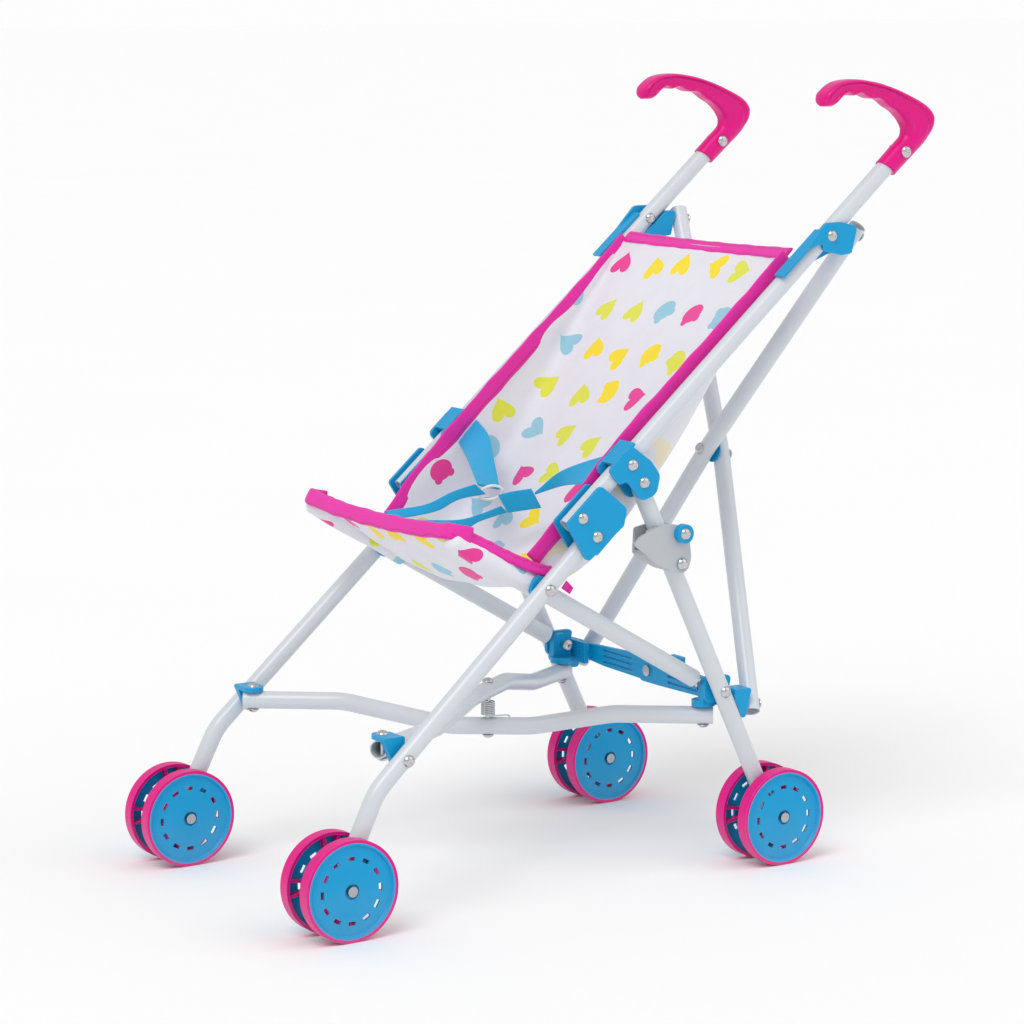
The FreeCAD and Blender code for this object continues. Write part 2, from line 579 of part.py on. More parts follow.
def lock_bar():
    """Two flat arms that lap at the middle and lock the frame open; the left has the pedal."""
    inner, high = 12.0, size("lock_high") / 2
    reach, level = size("lock_pivot_x"), size("lock_z")
    lap = size("lock_thick") + 0.4
    for name, side, layer in (("lock_arm_left", 1, 0), ("lock_arm_right", -1, 1)):
        front = at(0, size("lock_y"), 0).y + layer * lap
        corners = [(reach + 7.0, 5.5), (reach - 20.0, 7.0), (20.0, high), (-inner, high),
                   (-inner, -high), (14.0, -high), (reach - 22.0, -8.0), (reach + 7.0, -5.5)]
        radii = [4.0, 30.0, 30.0, 6.0, 6.0, 30.0, 30.0, 4.0]
        path = [Vector(side * x, front, level + z) for x, z in corners]
        first = (path[0] + path[-1]) * 0.5
        edge = doc.addObject("Part::Feature", name + "_outline")
        edge.Shape = Part.Wire(corner_arcs([first] + path + [first], radii))
        slab = doc.addObject("Part::Extrusion", name + "_slab")
        slab.Base, slab.Dir, slab.DirMode, slab.Solid = edge, Vector(0, 1, 0), "Custom", True
        bind(slab, "LengthFwd", "lock_thick")
        spot = Vector(side * reach, front, level)
        shapes = [slab, rod(name + "_peg", spot - Vector(0, 3.6 + layer * lap, 0), spot, 3.0)]
        if side > 0:
            shapes.append(box(name + "_pedal", Vector(30.0, front, level + 5.0),
                              Vector(44.0, front + size("lock_thick"), level + 17.0)))
        else:
            shapes.append(rod(name + "_boss", spot - Vector(0, lap, 0), spot, 6.0))
        low_x, high_x = sorted((side * 26.0, side * 64.0))
        grooves = [box("%s_groove%d" % (name, count), Vector(low_x, front - 1.0, level + z - 0.9),
                       Vector(high_x, front + 1.0, level + z + 0.9))
                   for count, z in enumerate((-4.4, 0.0, 4.4))]
        keep(cut(name + "_grooved", fuse(name + "_whole", shapes), grooves), name)
    head = 1.6
    screw = cylinder("lock_screw_head", at(0, size("lock_y") - head, level), Vector(0, 1, 0),
                     4.2, head)
    keep(screw, "lock_screw")


def storage_catch():
    """Grey channel on the left rear leg that holds the folded frame, with its blue cap.

    Only the outer cheek runs on into the jaw's tip, outside the swing of the seat bracket.
    """
    tail = [(84.0, 256.0), (98.0, 253.0), (101.0, 231.0), (97.0, 219.5), (84.0, 222.5),
            (70.5, 230.0)]
    tail_radii = [20.0, 8.0, 12.0, 7.0, 12.0]
    wall, outside = 2.2, 124.1
    inside = FRAME_X - size("tube_radius") - 2.6
    cheek = plate("catch_cheek", [(52.5, 244.5), (58.0, 249.5), (70.0, 254.0)] + tail,
                  [1.5, 5.0, 20.0] + tail_radii + [30.0], outside - wall, wall)
    whole = plate("catch_whole", [(65.0, 235.0), (66.0, 252.6)] + tail,
                  [1.5, 2.0] + tail_radii + [6.0], inside, outside - inside)
    room = [(40.0, 252.0), (70.0, 234.7), (84.0, 227.0), (110.0, 224.0), (110.0, 270.0),
            (40.0, 270.0)]
    hollow = plate("catch_room", room, 1.0, inside + wall, 13.2)
    leg_room = cylinder("catch_leg_room", REAR_TOP, REAR_HUB - REAR_TOP, "tube_radius + 0.05",
                        300.0)
    body = cut("catch_body", whole, [hollow, leg_room])
    keep(fuse("catch_jaw", [body, cheek]), "storage_catch")
    cap = cylinder("catch_cap_disc", at(outside, 92.6, 249.0), ALONG_X, 6.8, 5.0)
    knob = cylinder("catch_cap_rivet", at(outside, 92.8, 227.3), ALONG_X, 4.0, 1.2)
    keep(group("catch_cap_set", [cap, knob]), "catch_cap")


def wheel_shapes():
    """One wheel about the X axis: a pink rim with pairs of ribs behind a blue slotted disc."""
    half = size("wheel_width") / 2
    rim_in = size("disc_radius")
    whole = cylinder("wheel_outer", Vector(-half, 0, 0), ALONG_X, "wheel_radius", "wheel_width")
    well = cylinder("wheel_well", Vector(-half, 0, 0), ALONG_X, "disc_radius", "wheel_width")
    rim = cut("wheel_rim", whole, [well])
    boss = cylinder("wheel_boss", Vector(-half - size("boss_reach"), 0, 0), ALONG_X,
                    "boss_radius", size("wheel_width") + size("boss_reach") - size("disc_thick") - 1.0)
    ribs = [rim, boss]
    depth = size("wheel_width") - size("disc_thick") - 2.4
    for count, angle in enumerate(quarter + lean for quarter in (0.0, 90.0, 180.0, 270.0)
                                  for lean in (-10.0, 10.0)):
        rib = doc.addObject("Part::Box", "wheel_rib%d" % count)
        rib.Length, rib.Height = depth, rim_in - 4.0
        bind(rib, "Width", "rib")
        turn = Rotation(ALONG_X, angle)
        rib.Placement = Placement(turn.multVec(Vector(-half + 1.4, -size("rib") / 2, 4.5)), turn)
        ribs.append(rib)
    body = fuse("wheel_body", ribs)
    bored = cut("wheel_bored", body, [hole("wheel_bore", Vector(), ALONG_X, "axle_radius")])
    return bored, wheel_disc(half)


def wheel_disc(half):
    """Blue face disc: a revolved dished profile with a ring of slots."""
    body = doc.addObject("PartDesign::Body", "disc_body")
    sketch = body.newObject("Sketcher::SketchObject", "disc_profile")
    plane = [f for f in body.Origin.OriginFeatures if f.Role == "XY_Plane"][0]
    sketch.AttachmentSupport = [(plane, "")]
    sketch.MapMode = "FlatFace"
    back = half - size("disc_thick") - 1.0
    edge = size("disc_radius")
    well = half - size("hub_well")
    profile = [(back, size("axle_radius")), (back, edge), (half, edge), (half, edge - 1.3),
               (half - 1.8, edge - 2.4), (half - 1.3, 20.0), (half - 0.7, 5.3), (well, 5.0),
               (well, size("axle_radius"))]
    spots = [Vector(x, y, 0) for x, y in profile]
    for count, spot in enumerate(spots):
        sketch.addGeometry(Part.LineSegment(spot, spots[(count + 1) % len(spots)]), False)
    turned = body.newObject("PartDesign::Revolution", "disc_turned")
    turned.Profile = sketch
    turned.ReferenceAxis = (sketch, ["H_Axis"])
    turned.Angle = 360.0
    doc.recompute()
    tools = []
    for count in range(12):
        angle = Rotation(ALONG_X, 30.0 * count)
        slot = doc.addObject("Part::Box", "disc_slot%d" % count)
        slot.Length = 20.0
        bind(slot, "Width", "slot_long")
        bind(slot, "Height", "slot_wide")
        low = Vector(-10.0, -size("slot_long") / 2, size("slot_ring") - size("slot_wide") / 2)
        slot.Placement = Placement(angle.multVec(low), angle)
        tools.append(slot)
    slots = doc.addObject("Part::MultiFuse", "disc_slots")
    slots.Shapes = tools
    return cut("disc", body, [slots])


def wheels():
    """Four wheel pairs: two rims, two discs and one axle at each corner."""
    rim, disc = wheel_shapes()
    half = size("wheel_centre")
    pieces = {}
    for name, source in (("wheel_pair", rim), ("disc_pair", disc)):
        outer = group(name + "_outer", [source])
        outer.Placement = Placement(Vector(half, 0, 0), Rotation())
        inner = doc.addObject("Part::Mirroring", name + "_inner")
        inner.Source, inner.Normal = outer, ALONG_X
        pieces[name] = [outer, inner]
    for corner, hub in (("front", FRONT_HUB), ("rear", REAR_HUB)):
        for side, sign in (("left", 1), ("right", -1)):
            spot = Placement(Vector(hub.x * sign, hub.y, hub.z), Rotation())
            tail = "_%s_%s" % (corner, side)
            for name, label in (("wheel_pair", "wheels"), ("disc_pair", "wheel_discs")):
                pair = group(name + tail, pieces[name])
                pair.Placement = spot
                keep(pair, label + tail)
            shaft = cylinder("axle_shaft" + tail, spot.Base - ALONG_X * size("axle_half"),
                             ALONG_X, "axle_radius", "axle_half * 2")
            floor = half + size("wheel_width") / 2 - size("hub_well") + 0.1
            caps = [cylinder("axle_cap%d%s" % (count, tail), spot.Base + ALONG_X * start,
                             ALONG_X, "cap_radius", size("axle_half") - floor)
                    for count, start in enumerate((floor, -size("axle_half")))]
            keep(fuse("axle" + tail, [shaft] + caps), "axle" + tail)


def sling():
    """Seat sling: a cloth bucket hung between the push tubes and the seat tubes."""
    thick = size("cloth")
    outer = [(-78.0, 256.0), (-22.0, 226.0), (18.0, 216.5), (41.0, 226.0), (66.0, 253.0),
             (92.0, 277.0), (123.0, 319.0), (157.0, 375.0), (206.0, 432.0), (196.0, 440.0),
             (110.0, 366.0), (16.0, 285.0), (-6.0, 252.0), (-22.0, 244.0), (-74.0, 263.0)]
    inner = [(-90.0, 266.0), (-22.0, 226.0 + thick), (17.0, 218.0 + thick),
             (40.0 - thick, 227.5), (64.0, 253.5 + thick), (90.0 - thick, 277.5 + thick),
             (121.0, 320.0), (155.0, 376.0), (215.0, 447.0), (190.0, 470.0), (110.0, 400.0),
             (0.0, 320.0), (-60.0, 300.0)]
    half = size("sling_half")
    shell = plate("sling_outer", outer, 1.0, -half, half * 2)
    space = plate("sling_space", inner, 1.0, -half + thick, (half - thick) * 2)
    keep(cut("sling_body", shell, [space]), "sling")


def harness():
    """Lap straps, the two thin crotch straps and the buckle flap, lying just over the seat."""
    thick = size("strap_thick")
    left = box("lap_left", Vector(14.0, -73.0, 262.0), Vector(84.0, -73.0 + thick, 280.0))
    right = box("lap_right", Vector(-84.0, -73.0, 262.0), Vector(-14.0, -73.0 + thick, 280.0))
    buckle = box("buckle_flap", Vector(-13.6, -75.0, 258.0), Vector(13.6, -71.6, 282.0))
    keep(buckle, "buckle")
    straps = [box("crotch_%d" % count, Vector(x, -100.0, 250.0), Vector(x + 6.0, -75.4, 251.4))
              for count, x in enumerate((-10.0, 4.0))]
    keep(group("straps", [left, right] + straps), "harness_straps")


def check_and_write():
    """Stop on any failed object, then write one file for each sub-part."""
    doc.recompute()
    for item in doc.Objects:
        if "Invalid" in item.State or "Error" in item.State:
            raise RuntimeError("%s did not build: %s" % (item.Label, item.State))
    whole = FreeCAD.BoundBox()
    os.makedirs("parts", exist_ok=True)
    for item in SUBPARTS:
        shape = item.Shape
        if shape.isNull() or not shape.isValid() or not shape.Solids:
            raise RuntimeError("%s has no valid solid" % item.Label)
        whole.add(shape.BoundBox)
        shape.exportStep(os.path.join("parts", item.Label + ".step"))
    print("%d sub-parts, %.1f x %.1f x %.1f mm, middle y %.2f, low z %.2f" % (
        len(SUBPARTS), whole.XLength, whole.YLength, whole.ZLength, whole.Center.y, whole.ZMin))


handle_tubes()
grips()
handle_brackets()
front_legs(*seat_brackets())
rear_legs()
seat_tubes()
top_brackets()
front_brackets()
rear_cups()
rear_blocks()
back_brace()
floor_scissor()
lock_bar()
storage_catch()
wheels()
sling()
harness()
check_and_write()
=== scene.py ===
import json
import math

import bmesh
import bpy
import numpy as np
from bpy.props import FloatProperty, FloatVectorProperty, PointerProperty
from mathutils import Matrix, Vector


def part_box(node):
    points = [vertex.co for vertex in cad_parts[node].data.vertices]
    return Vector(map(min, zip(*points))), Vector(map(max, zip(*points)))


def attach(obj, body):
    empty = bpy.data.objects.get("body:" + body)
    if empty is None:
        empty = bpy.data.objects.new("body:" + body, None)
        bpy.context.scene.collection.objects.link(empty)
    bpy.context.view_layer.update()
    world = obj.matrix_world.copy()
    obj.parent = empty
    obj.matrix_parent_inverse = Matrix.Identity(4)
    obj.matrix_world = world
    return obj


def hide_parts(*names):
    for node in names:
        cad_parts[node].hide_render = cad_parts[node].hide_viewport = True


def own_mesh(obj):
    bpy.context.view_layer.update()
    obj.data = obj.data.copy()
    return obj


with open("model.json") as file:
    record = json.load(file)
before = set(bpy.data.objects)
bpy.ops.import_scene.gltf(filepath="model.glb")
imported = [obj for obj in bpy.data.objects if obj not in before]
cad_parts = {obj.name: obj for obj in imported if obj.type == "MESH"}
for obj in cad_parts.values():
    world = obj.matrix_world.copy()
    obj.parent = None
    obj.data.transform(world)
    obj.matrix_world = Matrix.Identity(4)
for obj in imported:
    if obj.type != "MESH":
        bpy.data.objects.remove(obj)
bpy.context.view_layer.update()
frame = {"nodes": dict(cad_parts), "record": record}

bl_info = {
    "name": "Doll stroller",
    "version": (1, 0, 0),
    "blender": (4, 5, 0),
    "location": "View3D > Sidebar > Stroller",
    "description": "Cloth, grips, trims and finishes of a folding doll stroller",
    "category": "Add Mesh",
}

# Heights are counted from the floor, widths from the middle plane and lengths from mid
# wheelbase, in millimetres; at() turns them into the frame's metres.
MID_SHIFT = 51.84
SIDES = (("left", 1), ("right", -1))
FRAME_X = 112.0
TUBE_RADIUS = 6.35
HINGE = np.array([12.4, 265.8])
HANDLE_SLOPE = math.radians(41.0)
HANDLE_WAY = np.array([math.cos(HANDLE_SLOPE), math.sin(HANDLE_SLOPE)])
HANDLE_NORMAL = np.array([math.sin(HANDLE_SLOPE), -math.cos(HANDLE_SLOPE)])
SEAT_PIVOT = np.array([-13.0, 218.0])
REAR_PIVOT = np.array([135.9, 130.0])
SEAT_WAY = (SEAT_PIVOT - REAR_PIVOT) / np.linalg.norm(SEAT_PIVOT - REAR_PIVOT)
SEAT_NORMAL = np.array([SEAT_WAY[1], -SEAT_WAY[0]])
SEAT_X = 96.5


def at(across, along, up):
    """Points in metres from widths, lengths from mid wheelbase and heights in millimetres."""
    spots = np.broadcast_arrays(np.asarray(across, float), along, up)
    return np.stack([spots[0], spots[1] - MID_SHIFT, spots[2]], axis=-1) / 1000.0


def side_view(origin, way, normal, run, drop):
    """Lengths and heights of points given as run along a line and drop below it."""
    run, drop = np.broadcast_arrays(np.asarray(run, float), drop)
    return (origin[0] + run * way[0] + drop * normal[0],
            origin[1] + run * way[1] + drop * normal[1])


def by_handle(across, run, drop):
    """A point beside the push tube: run up from the side hinge, drop below the tube's axis."""
    return at(across, *side_view(HINGE, HANDLE_WAY, HANDLE_NORMAL, run, drop))


def by_seat(across, run, drop):
    """A point beside the seat tube: run forward from its pivot, drop below the tube's axis."""
    return at(across, *side_view(SEAT_PIVOT, SEAT_WAY, SEAT_NORMAL, run, -np.asarray(drop, float)))


def smooth_line(points, count):
    """count points evenly spaced by length on a Catmull-Rom spline through the given ones."""
    points = np.asarray(points, float)
    ends = np.vstack([2 * points[:1] - points[1:2], points, 2 * points[-1:] - points[-2:-1]])
    steps = np.linspace(0, len(points) - 1, 40 * len(points))
    index = np.minimum(steps.astype(int), len(points) - 2)
    t = (steps - index)[:, None]
    p0, p1, p2, p3 = (ends[index + k] for k in range(4))
    line = 0.5 * (2 * p1 + (p2 - p0) * t + (2 * p0 - 5 * p1 + 4 * p2 - p3) * t ** 2
                  + (3 * p1 - p0 - 3 * p2 + p3) * t ** 3)
    length = np.concatenate([[0], np.cumsum(np.linalg.norm(np.diff(line, axis=0), axis=1))])
    spots = np.linspace(0, length[-1], count)
    return np.stack([np.interp(spots, length, line[:, k]) for k in range(line.shape[1])], -1)


def unit(vectors):
    """Vectors brought to length one."""
    return vectors / np.maximum(np.linalg.norm(vectors, axis=-1, keepdims=True), 1e-12)


def tangents(line):
    """Unit direction at every point of a line."""
    return unit(np.gradient(line, axis=0))


def path_lengths(grid, axis):
    """Distance walked along one axis of a grid of points, starting from zero."""
    steps = np.linalg.norm(np.diff(grid, axis=axis), axis=-1)
    lead = np.zeros_like(np.take(steps, [0], axis=axis))
    return np.cumsum(np.concatenate([lead, steps], axis=axis), axis=axis)


def rounded_band(width, thick, count=20):
    """Section of a flat band with round edges: a flattened superellipse as (wide, thick)."""
    angle = np.linspace(0, 2 * math.pi, count, endpoint=False)
    c, s = np.cos(angle), np.sin(angle)
    return np.stack([np.sign(c) * np.abs(c) ** 0.5 * width / 2,
                     np.sign(s) * np.abs(s) ** 0.8 * thick / 2], -1)


def surface(name, grid, wrap=(False, False), caps=False, uv=None, outward=True):
    """A mesh object from a grid of points [row, column, xyz], smooth, at the origin.

    wrap joins the last row or column to the first, caps closes the first and last row.
    uv is a grid of two values, by default the distances walked along columns and rows.
    """
    rows, columns = grid.shape[:2]
    r, c = np.meshgrid(np.arange(rows if wrap[0] else rows - 1),
                       np.arange(columns if wrap[1] else columns - 1), indexing="ij")
    r2, c2 = (r + 1) % rows, (c + 1) % columns
    faces = np.stack([r * columns + c, r * columns + c2, r2 * columns + c2, r2 * columns + c],
                     -1).reshape(-1, 4).tolist()
    if caps:
        faces += [list(range(columns))[::-1],
                  list(range((rows - 1) * columns, rows * columns))]
    mesh = bpy.data.meshes.new(name)
    mesh.from_pydata(grid.reshape(-1, 3).tolist(), [], faces)
    if uv is None:
        uv = np.stack([path_lengths(grid, 1), path_lengths(grid, 0)], -1)
    layer = mesh.uv_layers.new(name="flat")
    corners = np.empty(len(mesh.loops), np.int32)
    mesh.loops.foreach_get("vertex_index", corners)
    layer.data.foreach_set("uv", uv.reshape(-1, 2)[corners].astype(np.float32).ravel())
    mesh.polygons.foreach_set("use_smooth", np.ones(len(mesh.polygons), bool))
    mesh.validate()
    mesh.update()
    thing = bpy.data.objects.new(name, mesh)
    bpy.context.scene.collection.objects.link(thing)
    if outward:
        face_outward(thing)
    return thing


def face_outward(thing):
    """Turn the faces of a closed mesh outwards."""
    work = bmesh.new()
    work.from_mesh(thing.data)
    bmesh.ops.recalc_face_normals(work, faces=work.faces)
    work.to_mesh(thing.data)
    work.free()


def carried(name, line, across, section, caps=True, swell=None):
    """A section carried along a line: across is its wide axis, the line's normal its thin one."""
    way = tangents(line)
    wide = unit(across - way * np.sum(across * way, axis=-1, keepdims=True))
    thin = np.cross(way, wide)
    scale = np.ones(len(line)) if swell is None else swell
    grid = (line[:, None] + wide[:, None] * (section[None, :, :1] * scale[:, None, None])
            + thin[:, None] * section[None, :, 1:])
    return surface(name, grid, wrap=(False, True), caps=caps)


def ribbon(name, first, second, thick, count=60):
    """A strap between two edge lines: a flattened superellipse from one edge to the other."""
    one, two = (smooth_line(at(*np.array(edge, float).T), count) for edge in (first, second))
    middle, half = (one + two) / 2, (two - one) / 2
    thin = unit(np.cross(tangents(middle), half))
    section = rounded_band(2.0, thick / 1000)
    grid = (middle[:, None] + half[:, None] * section[None, :, :1]
            + thin[:, None] * section[None, :, 1:])
    return surface(name, grid, wrap=(False, True), caps=True)


def joined(name, things):
    """Several mesh objects as one."""
    bpy.ops.object.select_all(action="DESELECT")
    for thing in things:
        thing.select_set(True)
    bpy.context.view_layer.objects.active = things[0]
    bpy.ops.object.join()
    things[0].name = name
    things[0].data.name = name
    return things[0]


def thicken(thing, thickness, second=False):
    """Give a sheet its thickness; with second, its other side takes the next material."""
    shell = thing.modifiers.new("thickness", "SOLIDIFY")
    shell.thickness = thickness
    shell.offset = 0.0
    shell.use_even_offset = True
    if second:
        shell.material_offset = 1
        shell.material_offset_rim = 1


def finish_piece(thing, body, slot, *materials):
    """Give a piece its materials and the body that it rides on; its slot is not used."""
    for material in materials:
        thing.data.materials.append(material)
    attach(thing, body)
    return thing


# ---------------------------------------------------------------- materials

def srgb(red, green, blue):
    """Linear colour with alpha from 0 to 255 display values."""
    def line(value):
        """One channel from display value to linear light."""
        value /= 255.0
        return value / 12.92 if value <= 0.04045 else ((value + 0.055) / 1.055) ** 2.4
    return (line(red), line(green), line(blue), 1.0)


def feed(tree, node, inputs):
    """Link or set a node's inputs."""
    for key, value in dict(inputs).items():
        if isinstance(value, bpy.types.NodeSocket):
            tree.links.new(value, node.inputs[key])
        else:
            node.inputs[key].default_value = value
    return node


def add(tree, kind, inputs=(), **settings):
    """A shader node with its settings, and its inputs linked or set."""
    node = tree.nodes.new("ShaderNode" + kind)
    for key, value in settings.items():
        setattr(node, key, value)
    return feed(tree, node, inputs)


def calc(tree, operation, *values):
    """Result of a Math node."""
    return add(tree, "Math", dict(enumerate(values)), operation=operation).outputs[0]


def mixed(tree, share, first, second):
    """Colour between two, by share."""
    return add(tree, "Mix", {0: share, 6: first, 7: second}, data_type="RGBA").outputs[2]


def group(name, inputs, outputs):
    """An empty node group with its sockets; returns it with its input and output nodes."""
    tree = bpy.data.node_groups.new(name, "ShaderNodeTree")
    for label, kind, default in inputs:
        socket = tree.interface.new_socket(label, in_out="INPUT", socket_type="NodeSocket" + kind)
        if default is not None:
            socket.default_value = default
    for label, kind in outputs:
        tree.interface.new_socket(label, in_out="OUTPUT", socket_type="NodeSocket" + kind)
    return tree, tree.nodes.new("NodeGroupInput"), tree.nodes.new("NodeGroupOutput")


def put(tree, name, inputs=()):
    """One of the shared groups placed in a material."""
    node = tree.nodes.new("ShaderNodeGroup")
    node.node_tree = bpy.data.node_groups[name]
    return feed(tree, node, inputs)


def make_grain_group():
    """Fine surface grain: two sizes of noise give a height, a roughness and a tint factor."""
    tree, start, end = group(
        "grain", [("Vector", "Vector", None), ("Scale", "Float", 900.0),
                  ("Roughness", "Float", 0.4), ("Spread", "Float", 0.08)],
        [("Height", "Float"), ("Roughness", "Float"), ("Tint", "Float")])
    fine = add(tree, "TexNoise", {"Vector": start.outputs["Vector"],
                                  "Scale": start.outputs["Scale"], "Detail": 3.0})
    broad = add(tree, "TexNoise", {"Vector": start.outputs["Vector"], "Scale": 26.0,
                                   "Detail": 2.0})
    centred = calc(tree, "SUBTRACT", broad.outputs[0], 0.5)
    rough = calc(tree, "MULTIPLY_ADD", centred, start.outputs["Spread"],
                 start.outputs["Roughness"])
    tree.links.new(fine.outputs[0], end.inputs["Height"])
    tree.links.new(rough, end.inputs["Roughness"])
    tree.links.new(broad.outputs[0], end.inputs["Tint"])


def make_wear_group():
    """Edge wear: how far the bevelled normal leans from the true one, broken up by noise."""
    tree, start, end = group("edge_wear", [("Vector", "Vector", None), ("Radius", "Float", 0.0008),
                                           ("Amount", "Float", 0.5)], [("Mask", "Float")])
    soft = add(tree, "Bevel", {"Radius": start.outputs["Radius"]}, samples=4)
    true = add(tree, "NewGeometry")
    lean = add(tree, "VectorMath", {0: soft.outputs[0], 1: true.outputs["Normal"]},
               operation="DOT_PRODUCT").outputs["Value"]
    edge = calc(tree, "MULTIPLY", calc(tree, "SUBTRACT", 1.0, lean), 5.0)
    noise = add(tree, "TexNoise", {"Vector": start.outputs["Vector"], "Scale": 180.0,
                                   "Detail": 3.0})
    broken = calc(tree, "MULTIPLY", edge, noise.outputs[0])
    mask = add(tree, "Math", {0: broken, 1: start.outputs["Amount"]}, operation="MULTIPLY",
               use_clamp=True)
    tree.links.new(mask.outputs[0], end.inputs["Mask"])


def make_floor_darkening_group():
    """Darker towards the floor: a mask that fades out with height and is broken up by noise."""
    tree, start, end = group("floor_dust", [("Vector", "Vector", None), ("Top", "Float", 0.03),
                                            ("Amount", "Float", 0.3)], [("Mask", "Float")])
    height = add(tree, "SeparateXYZ", {0: start.outputs["Vector"]}).outputs["Z"]
    share = calc(tree, "SUBTRACT", 1.0, calc(tree, "DIVIDE", height, start.outputs["Top"]))
    noise = add(tree, "TexNoise", {"Vector": start.outputs["Vector"], "Scale": 70.0,
                                   "Detail": 4.0})
    raw = calc(tree, "MULTIPLY", calc(tree, "MULTIPLY", share, noise.outputs[0]),
               start.outputs["Amount"])
    mask = add(tree, "Math", {0: raw, 1: 0.0}, operation="MAXIMUM", use_clamp=True)
    tree.links.new(mask.outputs[0], end.inputs["Mask"])


def make_weave_group():
    """Plain weave on the cloth's own flat coordinates: two sets of threads over and under."""
    tree, start, end = group("weave", [("Vector", "Vector", None), ("Pitch", "Float", 0.0006)],
                             [("Height", "Float"), ("Slub", "Float")])
    turns = add(tree, "VectorMath", {0: start.outputs["Vector"]}, operation="SCALE")
    tree.links.new(calc(tree, "DIVIDE", math.pi, start.outputs["Pitch"]), turns.inputs["Scale"])
    axes = add(tree, "SeparateXYZ", {0: turns.outputs[0]})
    warp = calc(tree, "ABSOLUTE", calc(tree, "SINE", axes.outputs["X"]))
    weft = calc(tree, "ABSOLUTE", calc(tree, "SINE", axes.outputs["Y"]))
    tree.links.new(calc(tree, "MULTIPLY", warp, weft), end.inputs["Height"])
    noise = add(tree, "TexNoise", {"Vector": start.outputs["Vector"], "Scale": 60.0,
                                   "Detail": 4.0})
    tree.links.new(noise.outputs[0], end.inputs["Slub"])


def make_stitch_group():
    """A row of stitches: dashes along Y of the flat coordinates at a given distance in X."""
    tree, start, end = group("stitches", [("Vector", "Vector", None), ("Place", "Float", 0.0),
                                          ("Pitch", "Float", 0.0035), ("Width", "Float", 0.0005)],
                             [("Mask", "Float")])
    axes = add(tree, "SeparateXYZ", {0: start.outputs["Vector"]})
    away = calc(tree, "ABSOLUTE", calc(tree, "SUBTRACT", axes.outputs["X"],
                                       start.outputs["Place"]))
    beside = calc(tree, "LESS_THAN", away, start.outputs["Width"])
    step = calc(tree, "FRACT", calc(tree, "DIVIDE", axes.outputs["Y"], start.outputs["Pitch"]))
    dash = calc(tree, "LESS_THAN", step, 0.72)
    tree.links.new(calc(tree, "MULTIPLY", beside, dash), end.inputs["Mask"])


def make_motif_group():
    """Scattered hearts and round-eared blobs.

    The flat coordinates are divided into staggered cells. Each cell moves and turns its own
    shape: a heart where x*x + (1.25*y - sqrt|x|)^2 is under 1, or a disc with two small discs
    on top. Mask is the shape, Pick a number per cell.
    """
    tree, start, end = group("motifs", [("Vector", "Vector", None), ("Cell", "Float", 0.037),
                                        ("Size", "Float", 0.0098)],
                             [("Mask", "Float"), ("Pick", "Float")])
    flat = add(tree, "SeparateXYZ", {0: start.outputs["Vector"]})
    row = calc(tree, "DIVIDE", flat.outputs["Y"], start.outputs["Cell"])
    row_number = calc(tree, "FLOOR", row)
    stagger = calc(tree, "MULTIPLY", calc(tree, "MODULO", row_number, 2.0), 0.5)
    column = calc(tree, "ADD", calc(tree, "DIVIDE", flat.outputs["X"], start.outputs["Cell"]),
                  stagger)
    column_number = calc(tree, "FLOOR", column)
    cell = add(tree, "CombineXYZ", {"X": column_number, "Y": row_number, "Z": 3.0})
    chance = add(tree, "TexWhiteNoise", {"Vector": cell.outputs[0]}, noise_dimensions="3D")
    draws = add(tree, "SeparateColor", {0: chance.outputs["Color"]})
    local = []
    for value, number, draw in ((column, column_number, draws.outputs[0]),
                                (row, row_number, draws.outputs[1])):
        inside = calc(tree, "SUBTRACT", calc(tree, "SUBTRACT", value, number), 0.5)
        moved = calc(tree, "MULTIPLY_ADD", calc(tree, "SUBTRACT", draw, 0.5), 0.24, inside)
        scaled = calc(tree, "DIVIDE", calc(tree, "MULTIPLY", moved, start.outputs["Cell"]),
                      start.outputs["Size"])
        local.append(scaled)
    spot = add(tree, "CombineXYZ", {"X": local[0], "Y": local[1], "Z": 0.0})
    angle = calc(tree, "MULTIPLY", calc(tree, "SUBTRACT", draws.outputs[2], 0.5), 3.4)
    turned = add(tree, "VectorRotate", {"Vector": spot.outputs[0], "Angle": angle},
                 rotation_type="Z_AXIS")
    axes = add(tree, "SeparateXYZ", {0: turned.outputs[0]})
    x, y = calc(tree, "ABSOLUTE", axes.outputs["X"]), axes.outputs["Y"]
    lobe = calc(tree, "SUBTRACT", calc(tree, "MULTIPLY", y, 1.25), calc(tree, "SQRT", x))
    heart = calc(tree, "MULTIPLY_ADD", x, x, calc(tree, "MULTIPLY", lobe, lobe))
    low = calc(tree, "MULTIPLY", y, 1.2)
    disc = calc(tree, "MULTIPLY_ADD", x, x, calc(tree, "MULTIPLY", low, low))
    ear_x = calc(tree, "MULTIPLY", calc(tree, "SUBTRACT", x, 0.6), 2.9)
    ear_y = calc(tree, "MULTIPLY", calc(tree, "SUBTRACT", y, 0.6), 2.9)
    ear = calc(tree, "MULTIPLY_ADD", ear_x, ear_x, calc(tree, "MULTIPLY", ear_y, ear_y))
    blob = calc(tree, "MINIMUM", disc, ear)
    is_blob = calc(tree, "GREATER_THAN", chance.outputs["Value"], 0.62)
    shape = add(tree, "Mix", {0: is_blob, 2: heart, 3: blob}, data_type="FLOAT").outputs[0]
    tree.links.new(calc(tree, "LESS_THAN", shape, 1.0), end.inputs["Mask"])
    pick = calc(tree, "FRACT", calc(tree, "MULTIPLY", chance.outputs["Value"], 7.3))
    tree.links.new(pick, end.inputs["Pick"])


GROUP_MAKERS = (make_grain_group, make_wear_group, make_floor_darkening_group, make_weave_group,
                make_stitch_group, make_motif_group)


